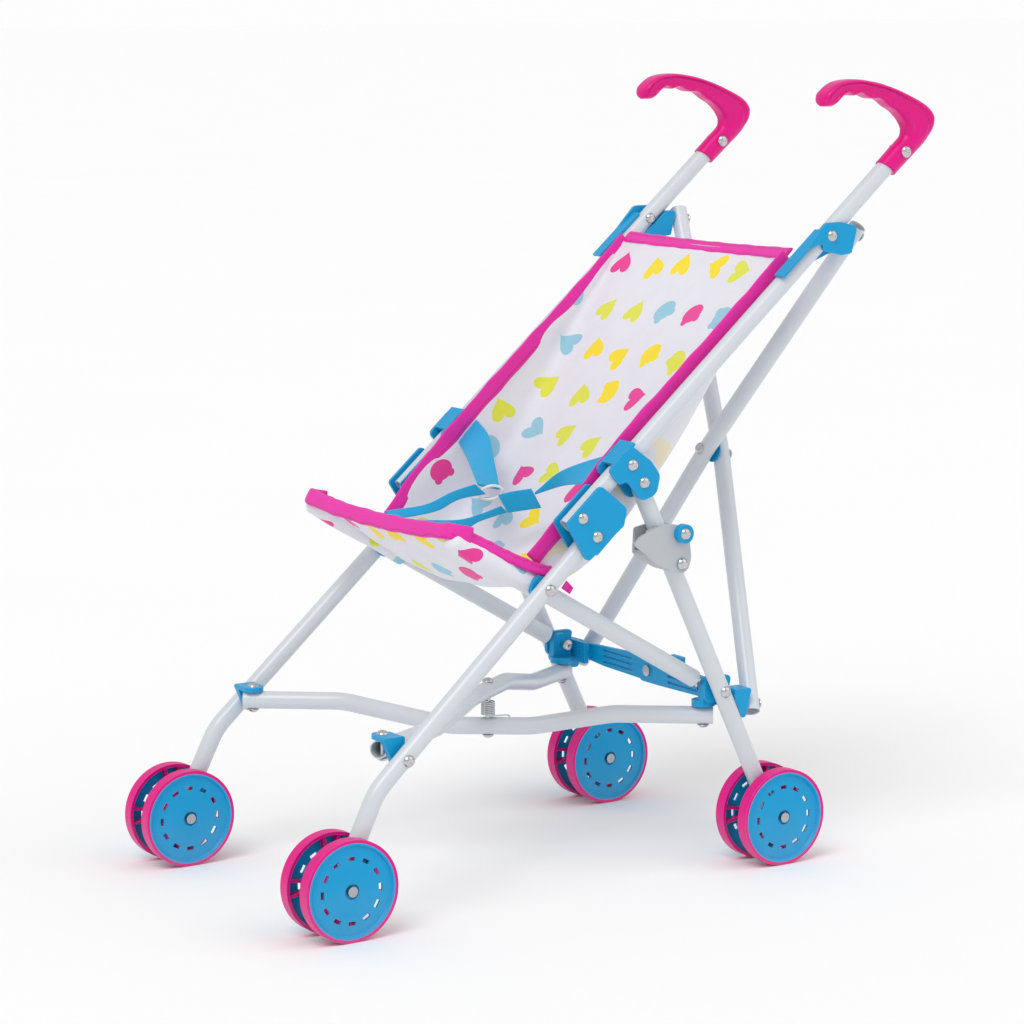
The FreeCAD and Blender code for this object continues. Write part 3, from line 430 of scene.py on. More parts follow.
def new_material(name):
    """A material with only an output and a Principled shader; returns it, its tree, shader."""
    material = bpy.data.materials.new(name)
    material.use_nodes = True
    tree = material.node_tree
    tree.nodes.clear()
    shader = tree.nodes.new("ShaderNodeBsdfPrincipled")
    output = tree.nodes.new("ShaderNodeOutputMaterial")
    tree.links.new(shader.outputs[0], output.inputs[0])
    return material, tree, shader


def bump(tree, shader, height, distance, strength=1.0):
    """Feed a height to the shader's normal."""
    node = add(tree, "Bump", {"Height": height, "Distance": distance, "Strength": strength})
    tree.links.new(node.outputs[0], shader.inputs["Normal"])


def enamel(name, colour, grey, roughness):
    """Sprayed enamel on steel tube: orange-peel height, slight greying, chips at the edges."""
    material, tree, shader = new_material(name)
    place = add(tree, "TexCoord").outputs["Object"]
    grain = put(tree, "grain", {"Vector": place, "Scale": 420.0, "Roughness": roughness,
                                "Spread": 0.12})
    wear = put(tree, "edge_wear", {"Vector": place, "Radius": 0.0005, "Amount": 0.35})
    toned = mixed(tree, calc(tree, "MULTIPLY", grain.outputs["Tint"], 0.22), colour, grey)
    worn = mixed(tree, wear.outputs["Mask"], toned, srgb(150, 152, 156))
    # Darker towards the bottom: warm grey mixed in near the floor by height and noise.
    darkening = put(tree, "floor_dust", {"Vector": place, "Top": 0.12, "Amount": 0.16})
    tree.links.new(mixed(tree, darkening.outputs["Mask"], worn, srgb(186, 180, 172)),
                   shader.inputs["Base Color"])
    tree.links.new(grain.outputs["Roughness"], shader.inputs["Roughness"])
    shader.inputs["Coat Weight"].default_value = 0.35
    shader.inputs["Coat Roughness"].default_value = 0.18
    bump(tree, shader, grain.outputs["Height"], 0.00006, 0.5)
    return material


def moulded(name, colour, roughness, darkening_amount=0.12, grain_scale=1500.0):
    """Injection-moulded plastic: fine spark grain, paler rubbed edges and a little darkening
    towards the floor.
    """
    material, tree, shader = new_material(name)
    place = add(tree, "TexCoord").outputs["Object"]
    grain = put(tree, "grain", {"Vector": place, "Scale": grain_scale, "Roughness": roughness,
                                "Spread": 0.14})
    wear = put(tree, "edge_wear", {"Vector": place, "Radius": 0.0006, "Amount": 0.4})
    pale = tuple(min(1.0, 0.62 * v + 0.3) for v in colour[:3]) + (1.0,)
    dark = tuple(0.86 * v for v in colour[:3]) + (1.0,)
    toned = mixed(tree, calc(tree, "MULTIPLY", grain.outputs["Tint"], 0.5), colour, dark)
    rubbed = mixed(tree, wear.outputs["Mask"], toned, pale)
    # Darker towards the bottom: warm grey mixed in near the floor by height and noise.
    darkening = put(tree, "floor_dust", {"Vector": place, "Top": 0.045, "Amount": darkening_amount})
    tree.links.new(mixed(tree, darkening.outputs["Mask"], rubbed, srgb(190, 184, 176)),
                   shader.inputs["Base Color"])
    tree.links.new(grain.outputs["Roughness"], shader.inputs["Roughness"])
    shader.inputs["Specular IOR Level"].default_value = 0.3
    bump(tree, shader, grain.outputs["Height"], 0.00004, 0.6)
    return material


def bare_metal(name, colour, roughness):
    """Bright plated steel with fine scratches."""
    material, tree, shader = new_material(name)
    place = add(tree, "TexCoord").outputs["Object"]
    streaks = add(tree, "Mapping", {"Vector": place, "Scale": (1.0, 9.0, 1.0)})
    grain = put(tree, "grain", {"Vector": streaks.outputs[0], "Scale": 700.0,
                                "Roughness": roughness, "Spread": 0.2})
    dark = tuple(0.72 * v for v in colour[:3]) + (1.0,)
    tree.links.new(mixed(tree, grain.outputs["Tint"], colour, dark), shader.inputs["Base Color"])
    tree.links.new(grain.outputs["Roughness"], shader.inputs["Roughness"])
    shader.inputs["Metallic"].default_value = 1.0
    bump(tree, shader, grain.outputs["Height"], 0.00003, 0.4)
    return material


def printed_cloth(name, strength):
    """Woven polyester with the printed motifs; strength is how far the print comes through."""
    material, tree, shader = new_material(name)
    flat = add(tree, "TexCoord").outputs["UV"]
    weave = put(tree, "weave", {"Vector": flat, "Pitch": 0.0007})
    motifs = put(tree, "motifs", {"Vector": flat})
    colours = add(tree, "ValToRGB", {0: motifs.outputs["Pick"]})
    colours.color_ramp.interpolation = "CONSTANT"
    stops = ((0.0, srgb(252, 226, 10)), (0.3, srgb(226, 230, 70)), (0.56, srgb(150, 203, 222)),
             (0.78, srgb(238, 50, 150)))
    ramp = colours.color_ramp.elements
    ramp[0].position, ramp[0].color = stops[0]
    ramp[1].position, ramp[1].color = stops[1]
    for position, colour in stops[2:]:
        ramp.new(position).color = colour
    ground = mixed(tree, weave.outputs["Slub"], srgb(236, 235, 241), srgb(226, 226, 236))
    inked = calc(tree, "MULTIPLY", motifs.outputs["Mask"], strength)
    tree.links.new(mixed(tree, inked, ground, colours.outputs[0]), shader.inputs["Base Color"])
    shader.inputs["Roughness"].default_value = 0.72
    shader.inputs["Sheen Weight"].default_value = 0.25
    shader.inputs["Sheen Roughness"].default_value = 0.5
    bump(tree, shader, weave.outputs["Height"], 0.00012, 0.5)
    return material


def webbing(name, colour, pitch, seam_places=(), thread=None):
    """Woven tape: coarse threads, a mottled tone and rows of stitches."""
    material, tree, shader = new_material(name)
    flat = add(tree, "TexCoord").outputs["UV"]
    weave = put(tree, "weave", {"Vector": flat, "Pitch": pitch})
    dark = tuple(0.74 * v for v in colour[:3]) + (1.0,)
    tone = mixed(tree, calc(tree, "MULTIPLY", weave.outputs["Slub"], 0.6), colour, dark)
    height = weave.outputs["Height"]
    for place in seam_places:
        seam = put(tree, "stitches", {"Vector": flat, "Place": place})
        tone = mixed(tree, calc(tree, "MULTIPLY", seam.outputs["Mask"], 0.8), tone,
                     thread or dark)
        height = calc(tree, "SUBTRACT", height, seam.outputs["Mask"])
    tree.links.new(tone, shader.inputs["Base Color"])
    shader.inputs["Roughness"].default_value = 0.66
    shader.inputs["Sheen Weight"].default_value = 0.2
    shader.inputs["Sheen Roughness"].default_value = 0.4
    bump(tree, shader, height, 0.00018, 0.6)
    return material


def floor_paint(name, colour):
    """Matt pale studio floor."""
    material, tree, shader = new_material(name)
    place = add(tree, "TexCoord").outputs["Object"]
    noise = add(tree, "TexNoise", {"Vector": place, "Scale": 2.0, "Detail": 2.0})
    soft = tuple(0.985 * v for v in colour[:3]) + (1.0,)
    tree.links.new(mixed(tree, noise.outputs[0], colour, soft), shader.inputs["Base Color"])
    shader.inputs["Roughness"].default_value = 0.9
    return material


def colour_property(name, description, default):
    """A colour setting shown in the panel."""
    return FloatVectorProperty(name=name, description=description, default=default[:3], size=3,
                               min=0.0, max=1.0, subtype="COLOR")


def length_property(name, description, default):
    """A length setting in metres shown in the panel."""
    return FloatProperty(name=name, description=description, default=default, min=0.0001,
                         unit="LENGTH", precision=4)


class StrollerColours(bpy.types.PropertyGroup):
    """Colours of the finishes."""
    tube: colour_property("Tube", "Enamel of the frame tubes", srgb(210, 216, 222))
    grip: colour_property("Grip", "Pink plastic of grips and wheels", srgb(228, 0, 134))
    blue: colour_property("Bracket", "Blue plastic of brackets and discs", srgb(0, 158, 214))
    catch: colour_property("Catch", "Grey plastic of the storage catch", srgb(188, 193, 197))
    binding: colour_property("Binding", "Pink tape sewn round the sling", srgb(242, 36, 174))
    strap: colour_property("Strap", "Blue webbing of the harness", srgb(0, 172, 228))


class StrollerSizes(bpy.types.PropertyGroup):
    """Sizes of the soft pieces."""
    cloth: length_property("Cloth", "Thickness of the sling cloth", 0.0008)
    binding_width: length_property("Binding width", "Width of the folded tape", 0.0125)
    strap_thick: length_property("Strap thickness", "Thickness of the webbing", 0.0014)


def colour_of(name):
    """The panel's colour with alpha."""
    return tuple(getattr(bpy.context.scene.stroller_colours, name)) + (1.0,)


FINISHES = {}


def make_finishes():
    """Every material of the stroller, by the name that the pieces use."""
    for maker in GROUP_MAKERS:
        maker()
    FINISHES.update({
        "tube": enamel("tube_enamel", colour_of("tube"), srgb(190, 194, 204), 0.3),
        "grip": moulded("grip_plastic", colour_of("grip"), 0.3, 0.0),
        "wheel": moulded("wheel_plastic", colour_of("grip"), 0.38, 0.22),
        "bracket": moulded("bracket_plastic", colour_of("blue"), 0.34, 0.0),
        "wheel_disc": moulded("disc_plastic", colour_of("blue"), 0.36, 0.18),
        "catch": moulded("catch_plastic", colour_of("catch"), 0.4, 0.0),
        "rivet": bare_metal("rivet_steel", srgb(214, 214, 216), 0.2),
        "axle": bare_metal("axle_steel", srgb(190, 192, 196), 0.3),
        "spring": bare_metal("spring_steel", srgb(226, 228, 232), 0.42),
        "sling": printed_cloth("sling_face", 1.0),
        "sling_reverse": printed_cloth("sling_reverse", 0.34),
        "binding": webbing("binding_tape", colour_of("binding"), 0.0011, (0.0035, 0.0165),
                           srgb(196, 18, 120)),
        "strap": webbing("strap_webbing", colour_of("strap"), 0.0012),
        "buckle": moulded("buckle_plastic", srgb(238, 240, 242), 0.3, 0.0),
    })


class STROLLER_OT_finishes(bpy.types.Operator):
    """Make every material and give one to each part of the frame"""
    bl_idname = "stroller.finishes"
    bl_label = "Finishes"

    def execute(self, context):
        make_finishes()
        for entry in frame["record"]["materials"]:
            if entry["slot"] not in FINISHES:
                raise RuntimeError("no finish for " + entry["slot"])
        for name, thing in frame["nodes"].items():
            for holder in thing.material_slots:
                holder.material = FINISHES[finish_of(name)]
        return {"FINISHED"}


NODE_FINISHES = (
    ("rivet", "rivet"), ("_pin_", "rivet"), ("axle", "axle"), ("spring", "spring"),
    ("lock_screw", "rivet"), ("wheel_discs", "wheel_disc"), ("wheels", "wheel"),
    ("storage_catch", "catch"), ("catch_cap", "bracket"), ("grip", "grip"),
    ("bracket", "bracket"), ("rear_cup", "bracket"), ("rear_block", "bracket"),
    ("lock_arm", "bracket"), ("brace_spacer", "bracket"), ("harness", "strap"),
    ("buckle", "buckle"), ("sling", "sling"), ("tube", "tube"), ("leg", "tube"),
    ("brace", "tube"),
)


def finish_of(node):
    """Name of the finish of a frame part."""
    for word, finish in NODE_FINISHES:
        if word in node:
            return finish
    raise RuntimeError("no finish for " + node)


# ---------------------------------------------------------------- sling

TOP_RUN = 254.0
BACK_RUNS = np.array([254.0, 222.0, 180.0, 150.0, 118.0, 90.0, 65.0, 32.0, 6.0, -14.0, -30.0])
BACK_DROPS = np.array([-6.0, 2.5, 11.7, 21.0, 31.0, 38.5, 43.2, 46.5, 48.6, 46.8, 42.0])
EDGE_RUNS = np.array([252.0, 222.0, 180.0, 150.0, 118.0, 90.0, 65.0, 32.0, 4.0, -18.0, -38.0])
EDGE_DROPS = {
    "left": np.array([-9.0, -8.5, -8.0, -8.0, -8.0, -8.0, -7.0, -4.0, 0.0, 2.0, 4.0]),
    "right": np.array([-9.0, -8.5, -8.0, -8.0, -8.0, -8.0, -8.0, -7.5, -6.5, -5.0, -3.0]),
}
EDGE_ACROSS = np.array([101.0, 101.0, 101.0, 101.0, 101.0, 100.5, 99.6, 98.6, 97.0, 95.0, 93.0])
WALL_SQUARE = 9.0


def wrinkles(rows, columns, seed_shift):
    """Soft folds in metres: a few slanted waves that fade towards the sewn edges."""
    v, u = np.meshgrid(np.linspace(0, 1, rows), np.linspace(-1, 1, columns), indexing="ij")
    waves = (0.9 * np.sin(9.0 * u + 5.0 * v + seed_shift)
             * np.sin(7.0 * v * v + 2.0 * u + 1.7 * seed_shift)
             + 0.5 * np.sin(17.0 * u - 9.0 * v + 2.1 * seed_shift) * np.exp(-4.0 * v)
             + 0.5 * np.sin(23.0 * v + 4.0 * u * u + seed_shift) * u * u)
    fade = np.clip((1 - np.abs(u)) * 6, 0, 1) * np.clip(v * 9, 0, 1)
    return waves * fade / 1000.0


def grid_normals(grid):
    """Unit normal at every point of a grid."""
    return unit(np.cross(np.gradient(grid, axis=1), np.gradient(grid, axis=0)))


def back_grid(rows, columns):
    """The back of the sling.

    Row by row down the push tubes. Across, each row is the lower half of a superellipse, which
    is nearly a box with round corners: the sine and cosine of the angle are divided by the sum
    of their high powers, taken back to the first power. One gives the width, the other how far
    the cloth hangs from the bound edge towards the middle line.
    """
    middle = smooth_line(by_handle(np.zeros(len(BACK_RUNS)), BACK_RUNS, BACK_DROPS), rows)
    left, right = (smooth_line(by_handle(EDGE_ACROSS, EDGE_RUNS, drops), rows)
                   for drops in EDGE_DROPS.values())
    angle = np.linspace(-1, 1, columns) * math.pi / 2
    edge = np.where(angle[None, :, None] < 0, right[:, None], left[:, None])
    reach = (np.abs(np.sin(angle)) ** WALL_SQUARE + np.abs(np.cos(angle)) ** WALL_SQUARE) \
        ** (1 / WALL_SQUARE)
    wide = np.sin(angle) / reach
    rise = 1 - np.cos(angle) / reach
    grid = middle[:, None] + (edge - middle[:, None]) * rise[None, :, None]
    grid[:, :, 0] = left[:, None, 0] * wide[None, :]
    return grid + grid_normals(grid) * wrinkles(rows, columns, 0.4)[:, :, None]


def even_columns(grid, columns):
    """The same surface with its columns evenly spaced by length."""
    length = path_lengths(grid, 1)
    rows = []
    for row, walked in zip(grid, length):
        spots = np.linspace(0, walked[-1], columns)
        rows.append(np.stack([np.interp(spots, walked, row[:, k]) for k in range(3)], -1))
    return np.array(rows)


SEAT_FRONT = 80.0
SEAT_REAR = -12.0
SLEEVE_RADIUS = 7.6


def seat_grid(rows, columns):
    """The seat panel: from the front edge back along the seat tubes to the fold under the back.

    Across, it hangs between the sleeves with a parabolic dip that grows towards the rear.
    """
    runs = np.array([SEAT_FRONT, 60.0, 40.0, 20.0, 2.0, -10.0, -21.0, -30.0])
    drops = np.array([-3.0, -0.5, 1.0, 2.0, 2.5, -2.0, -10.0, -14.0])
    dips = np.array([1.0, 5.0, 8.0, 10.0, 9.0, 6.0, 3.0, 0.0])
    run = np.linspace(runs[0], runs[-1], rows)
    drop = np.interp(run, runs[::-1], drops[::-1])
    dip = np.interp(run, runs[::-1], dips[::-1])
    share = np.linspace(-1, 1, columns)
    across = share[None, :] * np.interp(run, runs[::-1], [84.0] * 2 + [89.0] * 6)[:, None]
    grid = by_seat(across, run[:, None], drop[:, None] + dip[:, None] * (1 - share[None, :] ** 2))
    return grid + grid_normals(grid) * wrinkles(rows, columns, 2.3)[:, :, None] * 0.8


def sleeve_grid(side, rows, columns):
    """Cloth sleeve round a seat tube: a circle carried along it, gathered shut at the front.

    The radius follows a quarter circle over the first few millimetres.
    """
    run = SEAT_FRONT - 1.0 - np.linspace(0, 1, rows) ** 1.3 * (SEAT_FRONT - 1.0 - SEAT_REAR)
    angle = np.linspace(0, 2 * math.pi, columns, endpoint=False)
    swell = 1 + 0.05 * np.sin(3 * angle[None, :] + run[:, None] / 9.0)
    inset = np.clip((SEAT_FRONT - 1.0 - run) / 5.0, 0.002, 1)[:, None]
    radius = SLEEVE_RADIUS * swell * np.sqrt(1 - (1 - inset) ** 2)
    across = side * (SEAT_X + radius * np.sin(angle)[None, :])
    drop = radius * -np.cos(angle)[None, :]
    return by_seat(across, run[:, None], drop)


def sling_squash(thing):
    """Give a piece of the sling its own copy of its mesh."""
    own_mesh(thing)


class STROLLER_OT_sling(bpy.types.Operator):
    """Sew the sling: the back with its side walls, and the seat panel with its sleeves"""
    bl_idname = "stroller.sling"
    bl_label = "Sling"

    def execute(self, context):
        cloth = context.scene.stroller_sizes.cloth
        back = surface("sling_back", even_columns(back_grid(110, 241), 121), outward=False)
        seat = surface("sling_seat", seat_grid(56, 81), outward=False)
        sleeves = []
        for name, side in SIDES:
            grid = sleeve_grid(side, 40, 36)
            sleeves.append(surface("sleeve_" + name, grid, wrap=(False, True), outward=False))
        for thing in (back, seat, *sleeves):
            if thing is back:
                thing.data.materials.append(FINISHES["sling_reverse"])
            thing.data.materials.append(FINISHES["sling"])
            thicken(thing, cloth, thing is back)
            settle(thing)
        finish_piece(back, "handle_left", "sling")
        finish_piece(seat, "seat_tube_left", "sling")
        for (name, _side), sleeve in zip(SIDES, sleeves):
            finish_piece(sleeve, "seat_tube_" + name, "sling")
        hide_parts("sling")
        sling_squash(back)
        sling_squash(seat)
        return {"FINISHED"}


def settle(thing):
    """Apply a piece's modifiers, so that its mesh is the final one."""
    bpy.context.view_layer.objects.active = thing
    bpy.ops.object.select_all(action="DESELECT")
    thing.select_set(True)
    for modifier in list(thing.modifiers):
        bpy.ops.object.modifier_apply(modifier=modifier.name)


# Middle line of the front tape from the side round the corner: width, run and drop
FRONT_TURN = ((101.5, 66, -8.0), (100.5, 76, -5.0), (96, 81, -3.5), (85, 81.5, -2),
              (50, 82, 0.5), (0, 82, 1.5))


class STROLLER_OT_binding(bpy.types.Operator):
    """Sew the pink tape round the edges of the sling"""
    bl_idname = "stroller.binding"
    bl_label = "Binding"

    def execute(self, context):
        width = context.scene.stroller_sizes.binding_width * 1000
        tape = FINISHES["binding"]
        count = 120
        ripple = (1 + 0.04 * np.sin(np.linspace(0, 37, count))
                  + 0.03 * np.sin(np.linspace(1, 71, count)))
        handle_across = np.broadcast_to([0, *HANDLE_NORMAL], (count, 3))
        pieces = []
        for name, side in SIDES:
            line = smooth_line(by_handle(side * (EDGE_ACROSS + 0.6), EDGE_RUNS,
                                         EDGE_DROPS[name] + 3.0),
                               count)
            pieces.append(carried("binding_" + name, line, handle_across,
                                  rounded_band(width, 2.3) / 1000, swell=ripple))
            tab = side * 95.5
            pieces.append(ribbon("tab_" + name, [(tab, 15, 219), (tab, 13, 216.5), (tab, 11, 214)],
                                 [(tab, 21, 213), (tab, 19.5, 211), (tab, 18, 209)], 1.2))
        share = np.linspace(-1, 1, count)
        line = by_handle(share * 101.5, TOP_RUN + 0.5, -7.0 + 2.0 * (1 - share ** 2))
        slope = np.broadcast_to([0, *HANDLE_WAY], (count, 3))
        pieces.append(carried("binding_top", line, slope, rounded_band(10.0, 2.6) / 1000,
                              swell=ripple))
        back = joined("binding_back", pieces)
        finish_piece(back, "handle_left", "sling", tape)
        sling_squash(back)
        turn = np.array(FRONT_TURN)
        bend = np.vstack([turn, turn[-2::-1] * (-1, 1, 1)])
        front = smooth_line(by_seat(*bend.T), count)
        pieces = [carried("binding_front", front, np.broadcast_to([0, *SEAT_NORMAL], (count, 3)),
                          rounded_band(11.5, 5.0) / 1000, swell=ripple)]
        for name, side in SIDES:
            line = smooth_line(by_seat(side * np.array([99.0, 100.0, 101.0, 101.5, 99.0]),
                                       np.array([80.0, 55.0, 30.0, 4.0, -7.0]),
                                       np.array([-5.5, -7.5, -8.5, -11.5, -14.5])), count)
            pieces.append(carried("binding_seat_" + name, line,
                                  np.broadcast_to([0.6 * side, *(-0.8 * SEAT_NORMAL)], (count, 3)),
                                  rounded_band(9.0, 4.2) / 1000, swell=ripple))
        seat = joined("binding_seat", pieces)
        finish_piece(seat, "seat_tube_left", "sling", tape)
        sling_squash(seat)
        return {"FINISHED"}


# ---------------------------------------------------------------- harness

STRAPS = {
    "lap_right": ([(-99, 47, 291), (-75, 37, 287), (-45, 23, 283), (-8, 7, 274)],
                  [(-99, 63, 307), (-75, 58, 299), (-45, 44, 286), (-8, 26, 269)]),
    "lap_left": ([(22, 37, 270), (45, 41, 286), (70, 45, 296), (97, 53, 305)],
                 [(22, 37, 268), (45, 42, 276), (70, 37, 281), (97, 33, 285)]),
    "crotch_high": ([(-5, -72, 262), (-2, -62, 263), (0, -40, 265), (0, -19, 272), (0, 0, 276)],
                    [(3, -70, 257), (3, -49, 258), (2, -31, 260), (1, -14, 266), (0, 9, 268)]),
    "crotch_low": ([(9, -70, 258), (8, -45, 255), (8, -19, 253), (6, 0, 255), (4, 19, 259)],
                   [(13, -66, 252), (11, -33, 250), (10, -15, 246), (7, 0, 250), (4, 24, 254)]),
    "flap": ([(2, 18, 267), (10, 27, 270), (18, 36, 272)], [(6, 24, 254), (14, 33, 256),
                                                           (22, 42, 258)]),
}


class STROLLER_OT_harness(bpy.types.Operator):
    """Lay the lap webbing, the crotch loops, the buckle ring and its flap"""
    bl_idname = "stroller.harness"
    bl_label = "Harness"

    def execute(self, context):
        thick = context.scene.stroller_sizes.strap_thick * 1000
        pieces = [ribbon(name, *edges, thick) for name, edges in STRAPS.items()]
        straps = joined("harness_webbing", pieces)
        finish_piece(straps, "handle_left", "strap", FINISHES["strap"])
        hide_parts("harness_straps")
        sling_squash(straps)
        ring = buckle_ring()
        finish_piece(ring, "handle_left", "buckle", FINISHES["buckle"])
        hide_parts("buckle")
        sling_squash(ring)
        return {"FINISHED"}


RING_CENTRE = (-1.0, 14.0, 268.5)
RING_LONG, RING_SHORT, RING_WIRE = 8.5, 5.0, 1.1


def buckle_ring():
    """Oval plastic ring of the buckle: a small circle carried round an ellipse."""
    turn = np.linspace(0, 2 * math.pi, 64, endpoint=False)
    centre = at(*RING_CENTRE)
    wide, high = unit(np.array([[0.35, 0.9, 0.15], [0.1, -0.2, 0.97]]))
    line = centre + (np.outer(np.cos(turn), wide) * RING_LONG
                     + np.outer(np.sin(turn), high) * RING_SHORT) / 1000
    way = unit(np.roll(line, -1, axis=0) - np.roll(line, 1, axis=0))
    out = unit(line - centre)
    side = np.cross(way, out)
    angle = np.linspace(0, 2 * math.pi, 14, endpoint=False)
    grid = (line[:, None] + (out[:, None] * np.cos(angle)[None, :, None]
                             + side[:, None] * np.sin(angle)[None, :, None])
            * RING_WIRE / 1000)
    return surface("buckle_ring", grid, wrap=(True, True))


# ---------------------------------------------------------------- grips

# Lengths and heights of the two edges of a grip, from the sleeve round the hook to its tip
GRIP_OUTER = ((284.5, 490.9), (298.6, 502.6), (314.0, 516.0), (319.6, 527.7), (313.5, 538.7),
              (293.6, 548.7), (273.2, 555.7), (258.5, 558.8), (244.9, 560.0), (231.4, 558.0),
              (221.2, 551.3), (217.3, 544.4), (219.2, 541.2))
GRIP_INNER = ((271.7, 500.8), (282.7, 510.7), (292.0, 519.2), (293.0, 527.0), (285.7, 535.2),
              (277.5, 540.0), (269.3, 545.3), (260.4, 546.2), (251.5, 549.8), (245.0, 548.4),
              (239.5, 550.2), (233.2, 546.7), (230.0, 542.4), (228.1, 541.1))


def grip_grid(side, rows, columns):
    """Hooked grip: a section spanned between the outer and the inner edge of the hook.

    The section is a superellipse, round on the sleeve and nearly a box on the hook. Both faces
    of the hook are sunk between rims, with one low rib along them. The inner edge has the
    hollows for the fingers.
    """
    outer, inner = (smooth_line(edge, rows) for edge in (GRIP_OUTER, GRIP_INNER))
    middle, half = (outer + inner) / 2, (outer - inner) / 2
    share = np.linspace(0, 1, rows)[:, None]
    angle = np.linspace(0, 2 * math.pi, columns, endpoint=False)[None, :]
    c, s = np.cos(angle), np.sin(angle)
    hook = np.clip((share - 0.24) * 12, 0, 1) * np.clip((0.985 - share) * 25, 0, 1)
    high = np.sign(s) * np.abs(s) ** (1 - 0.42 * hook)
    wide = np.sign(c) * np.abs(c) ** (1 - 0.55 * hook)
    sunk = 2.2 * hook * np.clip((0.66 - np.abs(high)) * 7, 0, 1)
    rib = 1.3 * hook * np.exp(-((high - 0.3) / 0.09) ** 2)
    tip = np.sqrt(np.clip((1.004 - share) * 30, 0.02, 1))
    across = side * (FRAME_X + wide * (7.8 + 0.9 * hook - sunk + rib) * tip)
    return at(across, middle[:, :1] + half[:, :1] * high, middle[:, 1:2] + half[:, 1:2] * high)


class STROLLER_OT_grips(bpy.types.Operator):
    """Mould the two hooked grips"""
    bl_idname = "stroller.grips"
    bl_label = "Grips"

    def execute(self, context):
        for name, side in SIDES:
            grip = surface("grip_hook_" + name, grip_grid(side, 150, 72), wrap=(False, True),
                           caps=True)
            finish_piece(grip, "handle_" + name, "grip", FINISHES["grip"])
            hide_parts("grip_" + name)
        return {"FINISHED"}


# ---------------------------------------------------------------- rivets and spring

def dome_grid(centre, way, radius=4.3, height=2.3):
    """Domed head with a small dimple: height falls with the cube of the distance from the axis."""
    way = np.asarray(way, float) / np.linalg.norm(way)
    guide = np.array([0.0, 0.0, 1.0]) if abs(way[2]) < 0.9 else np.array([1.0, 0.0, 0.0])
    first = unit(np.cross(way, guide))
    second = np.cross(way, first)
    share = np.concatenate([[0.01], np.linspace(0.06, 1, 13) ** 0.8])
    rise = height * (1 - share ** 3) - 0.4 * np.clip((0.34 - share) * 8, 0, 1)
    share, rise = np.append(share, 1.0), np.append(rise, -0.3)
    angle = np.linspace(0, 2 * math.pi, 28, endpoint=False)
    ring = np.cos(angle)[:, None] * first + np.sin(angle)[:, None] * second
    return (centre + (share[:, None, None] * radius * ring[None] + rise[:, None, None] * way)
            / 1000)


# Side faces that the heads lie on, as distances from the middle plane, and where pins stand
BRACKET_FACE, SEAT_BRACKET_FACE, INNER_FACE = 120.95, 121.3, 103.35
BARE_TUBE_FACE = FRAME_X - TUBE_RADIUS - 0.05
LEG_RIVET = HINGE + 18.3 * HANDLE_NORMAL
BRACE_TOP = (224.4, 450.2)
REAR_TOP = (63.5, 286.4)
BRACE_LOW, BRACE_HIGH = np.array([165.0, 117.0]), np.array([252.8, 450.0])
BRACE_WAY = (BRACE_HIGH - BRACE_LOW) / np.linalg.norm(BRACE_HIGH - BRACE_LOW)
BRACE_NORMAL = np.array([BRACE_WAY[1], -BRACE_WAY[0]])
BRACE_X, SCISSOR_X = 107.5, 93.0
DOWN, UP = (0, 0, -1), (0, 0, 1)


def side_heads(side, outer, inner, spot):
    """The two heads of a pin across one side of the frame."""
    return [((side * outer, *spot), (side, 0, 0)), ((side * inner, *spot), (-side, 0, 0))]


def head_table():
    """Heads by body: a place, from the middle plane, mid wheelbase and floor, and a direction."""
    rearward = (0, *BRACE_NORMAL)
    cross = (BRACE_LOW + BRACE_HIGH) / 2
    heads = {
        "back_brace_front": [((-BRACE_X, *(BRACE_LOW + BRACE_NORMAL * 6.75)), rearward),
                             ((0, *(cross - BRACE_NORMAL * 13.8)), (0, *-BRACE_NORMAL))],
        "back_brace_rear": [((BRACE_X, *(BRACE_LOW + BRACE_NORMAL * 6.75)), rearward),
                            ((0, *(cross + BRACE_NORMAL * 13.8)), rearward)],
        "scissor_upper": [((SCISSOR_X, -131.5, 128.05), UP), ((SCISSOR_X, -131.5, 111.35), DOWN),
                          ((0, 10, 132.05), UP), ((-SCISSOR_X, 134, 102.25), DOWN)],
        "scissor_lower": [((-SCISSOR_X, -131.5, 128.05), UP), ((-SCISSOR_X, -131.5, 111.35), DOWN),
                          ((0, 10, 92.55), DOWN), ((SCISSOR_X, 134, 102.25), DOWN)],
    }
    for name, side in SIDES:
        heads["handle_" + name] = (side_heads(side, BRACKET_FACE, INNER_FACE, REAR_TOP)
                                   + [((side * BRACKET_FACE, 53.9, 299.4), (side, 0, 0))]
                                   + side_heads(side, FRAME_X + 8.3, FRAME_X - 8.3,
                                                (290.7, 507.8)))
        heads["front_leg_" + name] = (
            side_heads(side, SEAT_BRACKET_FACE, INNER_FACE, HINGE)
            + side_heads(side, SEAT_BRACKET_FACE, INNER_FACE, LEG_RIVET)
            + side_heads(side, 122.6, 102.5, (-128, 114))
            + side_heads(side, 119.59, 90.05, SEAT_PIVOT))
        heads["rear_leg_" + name] = side_heads(side, FRAME_X + TUBE_RADIUS, 86.4, REAR_PIVOT)
        heads["top_bracket_" + name] = (
            side_heads(side, BRACKET_FACE, BARE_TUBE_FACE, BRACE_TOP)
            + [((side * BRACE_X, *(BRACE_HIGH + BRACE_NORMAL * 6.75)), rearward)])
    heads["rear_leg_left"] += [((129.1, 92.6, 249), (1, 0, 0)), ((125.3, 92.8, 227.3), (1, 0, 0))]
    return heads


class STROLLER_OT_rivets(bpy.types.Operator):
    """Set domed heads on the rivets"""
    bl_idname = "stroller.rivets"
    bl_label = "Rivet heads"

    def execute(self, context):
        for body, heads in head_table().items():
            things = [surface("head", dome_grid(at(*spot), way), wrap=(False, True), caps=True)
                      for spot, way in heads]
            piece = joined("rivet_heads_" + body, things)
            finish_piece(piece, body, "rivet", FINISHES["rivet"])
        return {"FINISHED"}


SPRING_TURNS, SPRING_WIRE = 8.0, 0.0011


